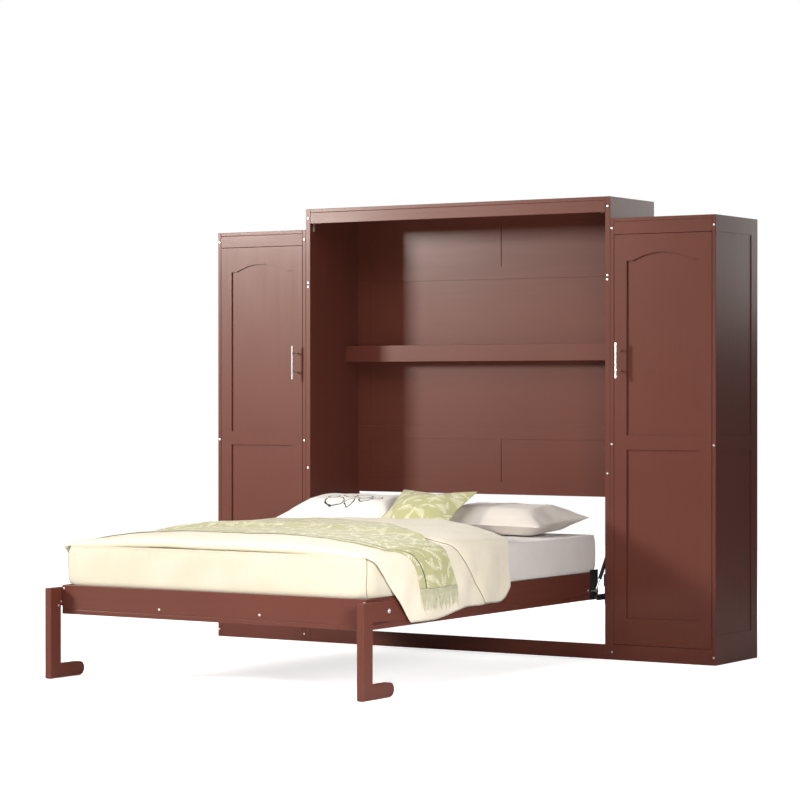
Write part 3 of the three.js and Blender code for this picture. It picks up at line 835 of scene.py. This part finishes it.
STEPS = 900
points, faces = [], []
for level, (z, out, inset) in enumerate(levels):
    half = rail_inner + out * MM
    foot, head = m_low.y + 2 * MM + inset * MM, m_high.y - inset * MM - 8 * MM
    for x, y, nx, ny in rounded_outline(half, foot, head, min(70 * MM, 0.35 * half), STEPS):
        pressed = tuck(x, SEAM_Z - z) if ny < -0.7 and rail_top < z < SEAM_Z else 0
        wave = 1.2 * MM * noise.noise(Vector((7 * x, 7 * y, 5 * z)))
        points.append((x - nx * (pressed - wave), y - ny * (pressed - wave), z))
for level in range(len(levels) - 1):
    for step in range(STEPS):
        a, b = level * STEPS + step, level * STEPS + (step + 1) % STEPS
        faces.append((a, b, b + STEPS, a + STEPS))
faces.append(tuple(reversed(range(STEPS))))
faces.append(tuple(range((len(levels) - 1) * STEPS, len(levels) * STEPS)))
mattress = shape("mattress_cover", points, faces, MATTRESS_COTTON, "bed", sharp=0)
mattress.data.materials.append(SHEET_COTTON)
SHEET_FROM = m_high.y - 0.95
for face in mattress.data.polygons:
    if face.center.y > SHEET_FROM and face.center.z > rail_top:
        face.material_index = 1
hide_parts("mattress")
print("mattress:", len(points), "points, top at", round(TOP_Z, 3))

# %% [markdown]
# The cover is sewn at the two foot corners. A corded seam shows there as a darker line, so each is a real
# cord, swept along a path of points. `swept` is also handy for any other sewn line.
# %% Corner seams
def swept(path, radius, corners=8):
    """A round cord along a path of points."""
    line = [Vector(p) for p in path]
    points, faces = [], []
    for step, centre in enumerate(line):
        ahead = (line[min(step + 1, len(line) - 1)] - line[max(step - 1, 0)]).normalized()
        aside = ahead.cross(Vector((0.31, 0.2, 0.93))).normalized()
        other = ahead.cross(aside)
        for corner in range(corners):
            angle = 2 * math.pi * corner / corners
            points.append(centre + radius * (math.cos(angle) * aside + math.sin(angle) * other))
    for step in range(len(line) - 1):
        for corner in range(corners):
            a, b = step * corners + corner, step * corners + (corner + 1) % corners
            faces.append((a, b, b + corners, a + corners))
    faces += [tuple(reversed(range(corners))), tuple(range(len(points) - corners, len(points)))]
    return points, faces


skin = BVHTree.FromPolygons(
    [v.co for v in mattress.data.vertices], [p.vertices for p in mattress.data.polygons]
)
seams = []
for sign in SIDES.values():
    corner_path = []
    for share in np.linspace(0, 1, 24):
        bow = 5 * MM * math.sin(7 * share) * share
        height = SEAM_Z - share * (SEAM_Z - rail_top - 6 * MM)
        aim = Vector((sign * (rail_inner + 2 * MM + bow), m_low.y + 16 * MM, height))
        away = Vector((sign, -1, 0)).normalized()
        hit = skin.ray_cast(aim + 0.2 * away, -away)[0]
        corner_path.append(hit - 0.2 * MM * away)
    seams.append(swept(corner_path, 1.5 * MM))
SEAM_THREAD = cotton("seam_thread", rgb(142, 130, 104), rgb(96, 88, 70), 0.8 * MM, 0.1, source="Object")
mattress_seams = shape("mattress_seams", *gather(seams), SEAM_THREAD, "bed", sharp=0)
print(len(seams), "corner seams")

# %% [markdown]
# ## The shape that the bedding lies on
# Duvet, turned-down edge and throw all follow one surface: nearly flat over the mattress but crowned by the
# filling, round over the edge, then straight down outside the rail. A point on it is named by two lengths:
# how far across the cloth it is from the middle, and where it is along the bed. Working in cloth lengths
# keeps every piece the size it was cut, and its cloth coordinates come for free.
# %% The bedding's surface
foot_y = m_low.y
EDGE_RISE = 12 * MM
CROWN = 55 * MM
FLAT_HALF = 790 * MM
ROUND = 50 * MM
START = math.radians(15)
STRAIGHT_FROM = FLAT_HALF + ROUND * (math.pi / 2 - START)


def bedding(across, along):
    """The bare surface for arrays of cloth lengths, in the row frame."""
    reach = np.abs(across)
    side = np.where(across < 0, -1.0, 1.0)
    filled = 0.35 + 0.65 * np.clip((along - foot_y) / 0.17, 0, 1) ** 0.6
    filled = filled + 0.16 * np.clip((along - foot_y - 0.25) / 0.4, 0, 1)
    tucked = 1 - np.clip((along - foot_y) / 0.06, 0, 1)
    edge_z = TOP_Z + EDGE_RISE * np.sqrt(1 - tucked ** 2)
    flat = np.minimum(reach, FLAT_HALF)
    z = edge_z + CROWN * filled * (1 - (flat / (FLAT_HALF + 22 * MM)) ** 3.4)
    over = np.clip(reach - FLAT_HALF, 0, None)
    turn = np.minimum(START + over / ROUND, math.pi / 2)
    hang = np.clip(reach - STRAIGHT_FROM, 0, None)
    x = flat + ROUND * (np.sin(turn) - math.sin(START)) + 0.012 * hang
    z = z - ROUND * (math.cos(START) - np.cos(turn)) - hang
    return np.stack([side * x, along, z], axis=-1)


print("cloth hangs straight from", round(STRAIGHT_FROM, 3), "m off the middle")

# %% [markdown]
# Filled cloth is never smooth. Noise gives broad rolls on top, and a wandering sine gives the long soft
# folds of the hanging part. Both are pushed out along the surface's own normals.
# %% Folds
def ripple(across, along, size, seed, stretch=1.0):
    flat = zip(across.ravel(), along.ravel())
    made = [noise.noise(Vector((p / size, q / size / stretch, seed))) for p, q in flat]
    return np.array(made).reshape(across.shape)


def folds(across, along):
    """How far the filled cloth stands off the bare surface."""
    reach = np.abs(across)
    hanging = np.clip((reach - FLAT_HALF) / 0.18, 0, 1)
    broad = 7 * MM * ripple(across, along, 0.30, 1.7)
    small = 2.6 * MM * ripple(across + 0.3 * along, along, 0.085, 4.2, stretch=1.6)
    lean = along + 0.45 * np.clip(reach - FLAT_HALF, 0, None)
    hung = 5.5 * MM * np.sin(lean / 0.036 + 3 * ripple(0 * across, along, 0.35, 9.1))
    fine = 1.0 * MM * ripple(across, along, 0.03, 6.6)
    return (broad + small) * (1 - 0.75 * hanging) + hung * hanging ** 1.5 * 0.8 + fine


def normals_of(grid):
    """Outward normals of a grid of points, from its own differences."""
    du, dv = np.gradient(grid, axis=0), np.gradient(grid, axis=1)
    n = np.cross(du, dv)
    if (n[..., 2] + n[..., 0] * np.sign(grid[..., 0])).mean() < 0:
        n = -n
    return n / np.maximum(np.linalg.norm(n, axis=-1, keepdims=True), 1e-9)


probe = np.meshgrid(np.linspace(-0.7, 0.7, 8), np.linspace(foot_y, foot_y + 1, 8), indexing="ij")
print("rolls reach", round(float(folds(*probe).max()) / MM, 1), "mm on top")

# %% [markdown]
# A layer of cloth has two faces and a rounded rim. `closed_layer` makes both grids and lets the thickness
# fall to nothing at the border like a quarter circle, so the skin is closed without a flat cut edge.
# %% A closed layer
def edge_distance(grid):
    """How far each grid point is from the nearest border of its own grid, along the cloth."""
    def runs(axis):
        step = np.linalg.norm(np.diff(grid, axis=axis), axis=-1)
        first = np.concatenate([np.zeros_like(np.take(step, [0], axis)), np.cumsum(step, axis)], axis)
        last = np.take(first, [-1], axis) - first
        return np.minimum(first, last)
    return np.minimum(runs(0), runs(1))


def closed_layer(name, across, along, outer, thick, rim, finish, edge=0.0):
    """One skin round a layer of cloth: the outer grid, an inner grid below it, and a rounded rim between."""
    n = normals_of(outer)
    share = np.clip(edge_distance(outer) / rim, 0, 1)
    depth = thick * np.sqrt(np.clip(1 - (1 - share) ** 2, 0, 1))
    inner = outer - n * depth[..., None]
    outer = outer - n * (thick / 2 * (1 - np.sqrt(np.clip(1 - (1 - share) ** 2, 0, 1))))[..., None]
    inner[0], inner[-1], inner[:, 0], inner[:, -1] = outer[0], outer[-1], outer[:, 0], outer[:, -1]
    nu, nv = across.shape
    top = np.arange(nu * nv).reshape(nu, nv)
    under = np.full((nu, nv), -1)
    under[1:-1, 1:-1] = nu * nv + np.arange((nu - 2) * (nv - 2)).reshape(nu - 2, nv - 2)
    under = np.where(under < 0, top, under)
    points = np.concatenate([outer.reshape(-1, 3), inner[1:-1, 1:-1].reshape(-1, 3)])
    uv = np.stack([across, along - edge], axis=-1)
    uvs = np.concatenate([uv.reshape(-1, 2), uv[1:-1, 1:-1].reshape(-1, 2)])
    faces = []
    for i in range(nu - 1):
        for j in range(nv - 1):
            faces.append((top[i, j], top[i + 1, j], top[i + 1, j + 1], top[i, j + 1]))
            faces.append((under[i, j], under[i, j + 1], under[i + 1, j + 1], under[i + 1, j]))
    return shape(name, points, faces, finish, "bed", sharp=0, uv=uvs)


def smooth_step(value, start, end):
    t = np.clip((value - start) / (end - start), 0, 1)
    return t * t * (3 - 2 * t)


print("half way up a smooth step:", smooth_step(0.5, 0, 1))

# %% [markdown]
# ## Duvet
# A filled cover pulled square at the foot and left loose at the sides, where it hangs nearly to the
# underside of the rail. Its foot corner is drawn back in a long diagonal. A regular grid is stretched
# between a foot line and a head line; both are functions of how far across the cloth we are.
# %% Duvet
HEM = STRAIGHT_FROM + 0.262
CORNER_FROM = FLAT_HALF + 25 * MM


def foot_line(across):
    drawn_back = np.clip((np.abs(across) - CORNER_FROM) / (HEM - CORNER_FROM), 0, 1)
    return foot_y + 3 * MM + 0.31 * drawn_back


def head_line(across):
    reach = np.minimum(np.abs(across), 0.84)
    return foot_y + 1.395 - 0.27 * (reach / 0.84) ** 1.6 + 0.02 * ripple(across, 0 * across, 0.2, 3.3)


def hem_reach(along):
    """How far the side hangs: longer at the foot, rounded off at the head."""
    shorter = 0.036 * smooth_step(along, foot_y + 0.50, foot_y + 0.80)
    rounded = 0.07 * np.clip((along - foot_y - 1.02) / 0.11, 0, 1) ** 2
    return HEM - shorter - rounded + 5 * MM * ripple(0 * along, along, 0.13, 8.8)


def cloth_grid(share_u, share_v, foot, head, reach):
    """Cloth lengths for every grid point, from the two end lines and the reach of the hem."""
    v = np.broadcast_to(share_v[None, :], (len(share_u), len(share_v)))
    u = np.broadcast_to(share_u[:, None], v.shape)
    rough = foot_y + 0.3 + v * 0.8
    for _ in range(4):
        across = u * reach(rough)
        rough = foot(across) + v * (head(across) - foot(across))
    return across, rough


across, along = cloth_grid(np.linspace(-1, 1, 190), np.linspace(0, 1, 125), foot_line, head_line, hem_reach)
bare = bedding(across, along)
lifted = bare + normals_of(bare) * folds(across, along)[..., None]
side_share = smooth_step(np.abs(across), FLAT_HALF - 0.15, STRAIGHT_FROM)
duvet_thick = 46 * MM * (1 - side_share) + 13 * MM * side_share
duvet = closed_layer("duvet_cover", across, along, lifted, duvet_thick, 30 * MM, DUVET_COTTON)
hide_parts("duvet")
print("duvet:", across.shape, "grid")

# %% [markdown]
# ## Turned-down edge
# The head end of the duvet is folded back on itself, so a second layer lies on the first and ends in a long
# crease down the side. It is a thinner layer of the same cloth on the same surface, lifted by its own
# thickness. A dark piping is sewn along the crease.
# %% Turned-down edge
TURN_THICK = 12 * MM


def crease_line(across):
    side = np.clip((np.abs(across) - FLAT_HALF) / (HEM - FLAT_HALF), 0, 1)
    return foot_y + 0.615 + 0.33 * side ** 0.8


def turned_head(across):
    return head_line(across) + 5 * MM


def turned_reach(along):
    return hem_reach(along) - 3 * MM


turn_across, turn_along = cloth_grid(
    np.linspace(-1, 1, 180), np.linspace(0, 1, 70), crease_line, turned_head, turned_reach
)
bare = bedding(turn_across, turn_along)
near_edge = smooth_step(turn_along - crease_line(turn_across), 0, 0.05)
uneven = 1.5 * MM * ripple(turn_across, turn_along, 0.06, 2.2)
stand = folds(turn_across, turn_along) + TURN_THICK * (0.55 + 0.45 * near_edge) + uneven
lifted = bare + normals_of(bare) * stand[..., None]
turndown = closed_layer("duvet_turndown", turn_across, turn_along, lifted, TURN_THICK, 12 * MM, DUVET_COTTON)
crease = lifted[:, 0] - 1.2 * MM * normals_of(lifted)[:, 0]
piping = shape("duvet_piping", *gather([swept(crease, 1.4 * MM)]), SEAM_THREAD, "bed", sharp=0)
print("turned-down edge:", turn_across.shape, "grid")

# %% [markdown]
# ## Throw
# A thin woven throw lies across the bed: wide on the far side, gathered narrower where it falls over the
# near side. It is thin enough to show every change below it, so it is lifted over the turned-down edge as
# well. %% Throw
THROW_REACH = STRAIGHT_FROM + 0.125
THROW_LIFT = 4 * MM
head_at = np.array([-0.96, -0.80, -0.45, -0.15, 0.12, 0.38, 0.64, 0.80, 0.86, 0.96])
head_is = np.array([1.20, 1.19, 1.17, 1.11, 1.00, 0.86, 0.64, 0.54, 0.59, 0.70])


def throw_foot(across):
    reach = np.abs(across)
    fallen = np.clip(reach - 0.79, 0, None)
    return foot_y + 0.185 - 0.045 * (reach / 0.8) ** 2 + 0.275 * (1 - np.exp(-fallen / 0.07))


def throw_head(across):
    """A smooth line through a few given places."""
    steps = [np.interp(across + d, head_at, head_is) for d in (-0.09, -0.045, 0, 0.045, 0.09)]
    return foot_y + np.mean(steps, axis=0)


def throw_reach(along):
    return THROW_REACH + 6 * MM * ripple(0 * along, along, 0.08, 5.5)


def throw_surface(across, along, extra=0.0):
    bare = bedding(across, along)
    over_turn = smooth_step(along - crease_line(across), -0.035, 0.02) * TURN_THICK
    gathers = 1.5 * MM * np.sin(along / 0.013 + 2 * ripple(across, along, 0.2, 7.7))
    gathers = gathers * smooth_step(across, 0.45, 0.85)
    stand = folds(across, along) + over_turn + gathers + THROW_LIFT + extra
    return bare + normals_of(bare) * stand[..., None]


across, along = cloth_grid(
    np.linspace(-1, 1, 300), np.linspace(0, 1, 110), throw_foot, throw_head, throw_reach
)
surface = throw_surface(across, along)
throw = closed_layer("throw", across, along, surface, 2.2 * MM, 2 * MM, THROW_CLOTH, edge=throw_foot(across))
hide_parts("throw_blanket")
print("throw:", across.shape, "grid")

# %% [markdown]
# ## Fringe
# At both ends of the throw the last threads are left loose and twisted into cords. Each cord starts on the
# cloth's end, runs on down the same surface, and leans a little by chance. The chance is seeded, so it
# never changes.
# %% Fringe
def strands(ends, count, length, seed):
    """Twisted cords as thin four-sided tubes; ends gives cloth lengths for a share from foot to head."""
    chance = np.random.default_rng(seed)
    share = (np.arange(count) + 0.5) / count
    base_across, base_along = ends(share)
    run = np.linspace(0, 1, 7)
    long = length * chance.uniform(0.82, 1.12, count)
    lean = chance.normal(0, 0.006, count) + 0.006 * np.sin(share * 40)
    across = base_across[:, None] + np.sign(base_across)[:, None] * (run[None] * long[:, None] - 0.002)
    along = base_along[:, None] + lean[:, None] * run[None] ** 1.3
    lift = 1.5 * MM * (1 + np.sin(share * 90))[:, None] * run[None]
    path = throw_surface(across, along, lift + 1.2 * MM)
    parts = []
    for line in path:
        points, faces = [], []
        for step, centre in enumerate(line):
            thick = (1.7 if step else 1.1) * MM * (1 - 0.35 * run[step])
            twist = step * 0.9
            for corner in range(4):
                angle = twist + corner * math.pi / 2
                points.append(tuple(centre + np.array([0.6 * math.cos(angle), math.sin(angle), 0]) * thick))
        for step in range(len(line) - 1):
            for corner in range(4):
                a, b = step * 4 + corner, step * 4 + (corner + 1) % 4
                faces.append((a, b, b + 4, a + 4))
        faces += [(3, 2, 1, 0), tuple(range(len(points) - 4, len(points)))]
        parts.append((points, faces))
    return parts


def throw_end(sign):
    def ends(share):
        reach = sign * throw_reach(foot_y + 0.45 + 0 * share)
        foot, head = throw_foot(reach), throw_head(reach)
        along = foot + share * (head - foot)
        return sign * throw_reach(along), along
    return ends


near_end = strands(throw_end(1), 64, 0.088, 11)
far_end = strands(throw_end(-1), 150, 0.088, 12)
fringe = shape("throw_fringe", *gather(near_end + far_end), FRINGE_CORD, "bed", sharp=0)
print("fringe:", len(near_end) + len(far_end), "cords")

# %% [markdown]
# ## Stuffed pieces
# A pillow is two rectangles of cloth sewn together and filled. Blender can do exactly that: we start from a
# thin closed pouch of the cut size, whose sides are drawn in a little, and blow it up in the next step.
# %% A sewn pouch
def pouch(name, width, depth, spacing):
    nu, nv = round(width / spacing) + 1, round(depth / spacing) + 1
    u, v = np.meshgrid(np.linspace(-1, 1, nu), np.linspace(-1, 1, nv), indexing="ij")
    lens = 0.018 * (1 - u ** 2) * (1 - v ** 2)
    pull = 1 - 0.035 * (1 - u ** 2) * np.abs(v) ** 3
    tuck_in = 1 - 0.05 * (1 - v ** 2) * np.abs(u) ** 3
    top = np.stack([u * tuck_in * width / 2, v * pull * depth / 2, lens], -1)
    top_index = np.arange(nu * nv).reshape(nu, nv)
    low_index = top_index.copy()
    low_index[1:-1, 1:-1] = nu * nv + np.arange((nu - 2) * (nv - 2)).reshape(nu - 2, nv - 2)
    points = np.concatenate([top.reshape(-1, 3), top[1:-1, 1:-1].reshape(-1, 3) * (1, 1, -1)])
    faces = []
    for i in range(nu - 1):
        for j in range(nv - 1):
            faces.append((top_index[i, j], top_index[i + 1, j], top_index[i + 1, j + 1], top_index[i, j + 1]))
            faces.append((low_index[i, j], low_index[i, j + 1], low_index[i + 1, j + 1], low_index[i + 1, j]))
    mesh = bpy.data.meshes.new(name)
    mesh.from_pydata([tuple(p) for p in points], [], [tuple(int(i) for i in f) for f in faces])
    mesh.update()
    made = bpy.data.objects.new(name, mesh)
    bpy.context.scene.collection.objects.link(made)
    return made


trial = pouch("trial", 0.7, 0.45, 0.014)
print("a pouch of 70 by 45 cm has", len(trial.data.vertices), "points")
bpy.data.meshes.remove(trial.data)

# %% [markdown]
# The cloth solver blows the pouch up with air pressure for a few frames. The seam can't stretch, so it
# puckers, and the corners stay pointed. The result is read off as plain points and the solver is removed.
# %% Blow it up
def inflate(piece, pressure, frames, most):
    """Blows the pouch up by cloth simulation, with each point's movement capped at `most`."""
    start = np.array([v.co for v in piece.data.vertices])
    stuffing = piece.modifiers.new("stuffing", "CLOTH")
    settings = stuffing.settings
    settings.quality = 6
    settings.mass = 0.35
    settings.tension_stiffness = 22
    settings.compression_stiffness = 12
    settings.shear_stiffness = 6
    settings.bending_stiffness = 0.4
    settings.use_pressure = True
    settings.uniform_pressure_force = pressure
    settings.effector_weights.gravity = 0
    for frame_number in range(1, frames + 1):
        bpy.context.scene.frame_set(frame_number)
    depsgraph = bpy.context.evaluated_depsgraph_get()
    grown = np.array([v.co for v in piece.evaluated_get(depsgraph).data.vertices])
    piece.modifiers.remove(stuffing)
    bpy.context.scene.frame_set(1)
    move = grown - start
    far = np.linalg.norm(move, axis=1, keepdims=True)
    return start + move * np.minimum(1, most / np.maximum(far, 1e-9))


print("cloth solver", "will run")

# %% [markdown]
# Air alone draws the sides in too far; real filling holds them out, so the outline is taken most of the way
# back to the cut shape. Then the piece gets its real thickness, its underside is pressed nearly flat
# because it lies on something, and one level of subdivision smooths it.
# %% Stuff and lay in place
def stuffed(name, width, depth, thick, finish, node_name, slot, place, tilt, flat=0.35, spacing=0.014):
    """A filled piece: inflated, set to its thickness, pressed on its underside, and laid in place."""
    piece = pouch(name, width, depth, spacing)
    rest = np.array([v.co[:2] for v in piece.data.vertices])
    co = inflate(piece, 5.0, 22, 0.11)
    co[:, :2] = 0.26 * co[:, :2] + 0.74 * 0.955 * rest
    share = thick / (co[:, 2].max() - co[:, 2].min())
    co[:, 2] *= share
    press_at = -flat * thick
    below = np.minimum(co[:, 2] - press_at, 0)
    co[:, 2] += -0.88 * below
    dent = np.array([noise.noise(Vector((x / 0.14, y / 0.10, 2.5))) for x, y, _ in co])
    edge = (1 - (np.abs(co[:, 0]) / width * 2) ** 6) * (1 - (np.abs(co[:, 1]) / depth * 2) ** 6)
    co[:, 2] += np.where(co[:, 2] > 0.2 * thick, 0.04 * thick * dent * np.clip(edge, 0, 1), 0)
    piece.data.vertices.foreach_set("co", co.astype(np.float32).ravel())
    piece.data.materials.append(finish)
    smoother = piece.modifiers.new("smoother", "SUBSURF")
    smoother.levels = smoother.render_levels = 1
    depsgraph = bpy.context.evaluated_depsgraph_get()
    piece.data = bpy.data.meshes.new_from_object(piece.evaluated_get(depsgraph))
    piece.modifiers.clear()
    piece.data.shade_smooth()
    piece.location = place
    piece.rotation_euler = tilt
    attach(piece, "bed")
    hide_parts(node_name)
    low_point = min((piece.matrix_world @ v.co).z for v in piece.data.vertices)
    print(f"{name}: lowest point {low_point:.3f}, {len(piece.data.vertices)} points")
    return piece


print("a pouch has a point every", stuffed.__defaults__[1], "m unless told otherwise")

# %% [markdown]
# ## Pillows and the green cushion
# Two sleeping pillows lie at the head, and the small cushion leans on them. The left pillowcase has a loose
# line drawing of rings, which is pure arithmetic: each ring is the place where the distance to its centre
# is constant, and a little noise makes the line look hand-drawn.
# %% Line drawing
def ring_drawing(tree, place):
    shaken = node(tree, "TexNoise", {"Vector": place, "Scale": 16, "Detail": 3})
    wobble = node(
        tree, "VectorMath", {0: shaken.outputs[1], 1: (0.05, 0.05, 0)}, operation="MULTIPLY"
    ).outputs[0]
    moved = node(tree, "VectorMath", {0: place, 1: wobble}, operation="ADD").outputs[0]
    flat = node(tree, "VectorMath", {0: moved, 1: (1, 1, 0)}, operation="MULTIPLY").outputs[0]
    drawn = None
    for step in range(7):
        centre = (0.04 * step - 0.07, -0.02 - 0.065 * (step % 2) + 0.014 * (step % 3), 0)
        radius = 0.026 + 0.009 * (step * 2 % 3)
        to_centre = node(tree, "VectorMath", {0: flat, 1: centre}, operation="SUBTRACT").outputs[0]
        squeezed = node(
            tree, "VectorMath", {0: to_centre, 1: (1.0, 1.25, 1)}, operation="MULTIPLY"
        ).outputs[0]
        far = node(tree, "VectorMath", {0: squeezed}, operation="LENGTH").outputs["Value"]
        off = sums(tree, "ABSOLUTE", sums(tree, "SUBTRACT", far, radius))
        line = sums(tree, "LESS_THAN", off, 0.0042)
        drawn = line if drawn is None else sums(tree, "MAXIMUM", drawn, line)
    above = sums(tree, "GREATER_THAN", node(tree, "SeparateXYZ", {0: place}).outputs[2], 0.0)
    return sums(tree, "MULTIPLY", drawn, above)


WHITE_COTTON = cotton(
    "white_pillowcase", rgb(246, 243, 238), rgb(230, 226, 220), source="Object", print_with=ring_drawing,
    print_colour=rgb(22, 22, 24)
)
LINEN_COTTON = cotton(
    "linen_pillowcase", rgb(226, 219, 212), rgb(208, 200, 192), source="Object", crease=0.45
)
print("pillowcases:", WHITE_COTTON.name, LINEN_COTTON.name)

# %% [markdown]
# The pillows' places come from the solids that they stand for; each lies on the sheet with its head side
# raised a few degrees, as a pillow does against a wall.
# %% Pillows and cushion
def centre_of(name):
    low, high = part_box(name)
    return (low + high) / 2


soft_pieces = []
for side, finish, thick, tip in (("left", WHITE_COTTON, 0.176, 6), ("right", LINEN_COTTON, 0.150, 4)):
    centre = centre_of(f"{side}_pillow")
    low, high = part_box(f"{side}_pillow")
    width, depth = high.x - low.x + 0.02, high.y - low.y + 0.04
    place = (centre.x, centre.y - 0.01, TOP_Z + 0.46 * thick)
    turn = (math.radians(tip), 0, math.radians(2 if side == "left" else -4))
    piece = stuffed(
        f"{side}_sleeping_pillow", width, depth, thick, finish, f"{side}_pillow", "pillow_cotton", place,
        turn
    )
    soft_pieces.append(piece)

centre = centre_of("green_cushion")
cushion_place = (centre.x + 0.01, centre.y + 0.035, TOP_Z + 0.118)
cushion_turn = (math.radians(31), 0, math.radians(-3))
cushion = stuffed(
    "leaf_cushion", 0.47, 0.37, 0.10, CUSHION_CLOTH, "green_cushion", "cushion_cloth", cushion_place,
    cushion_turn, 0.5, 0.012
)
soft_pieces.append(cushion)
print(len(soft_pieces), "stuffed pieces")

# %% [markdown]
# ## Drawing in the bedding's sides
# The real bed closes with its mattress and bedding strapped flat against the frame. The cloth at the sides
# must pass between the two side panels, and the mattress between the struts, so whatever stands out too far
# is drawn in evenly, which keeps the layers in their order.
# %% Draw in the sides
def kept_between(pieces, start, limit):
    """Draws in what stands further from the middle than start, so that nothing passes the limit."""
    reach = max(abs(v.co.x) for piece in pieces for v in piece.data.vertices)
    share = min(1, (limit - start) / max(reach - start, 1e-6))
    for piece in pieces:
        for v in piece.data.vertices:
            over = abs(v.co.x) - start
            if over > 0:
                v.co.x = math.copysign(start + over * share, v.co.x)
    print("widest point", round(reach, 4), "drawn in by", round(1 - share, 2), "beyond", start)


panel_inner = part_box("right_side_panel")[0].x
kept_between([duvet, turndown, piping, throw, fringe], panel_inner - 45 * MM, panel_inner - 2.5 * MM)
strut_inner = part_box("right_strut_cylinder")[0].x
kept_between([mattress, mattress_seams], strut_inner - 18 * MM, strut_inner - 1.5 * MM)
for piece in (duvet, turndown, piping, throw, fringe):
    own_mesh(piece)
for piece in soft_pieces:
    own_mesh(piece)
print("flattening pieces:", 5 + len(soft_pieces))

# %% [markdown]
# ## Overall size
# The looks' overall size is measured and printed. The looks must stay the size of the
# workshop model.
# %% Overall size
low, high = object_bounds()
print("visual size:", [round(v, 3) for v in high - low])
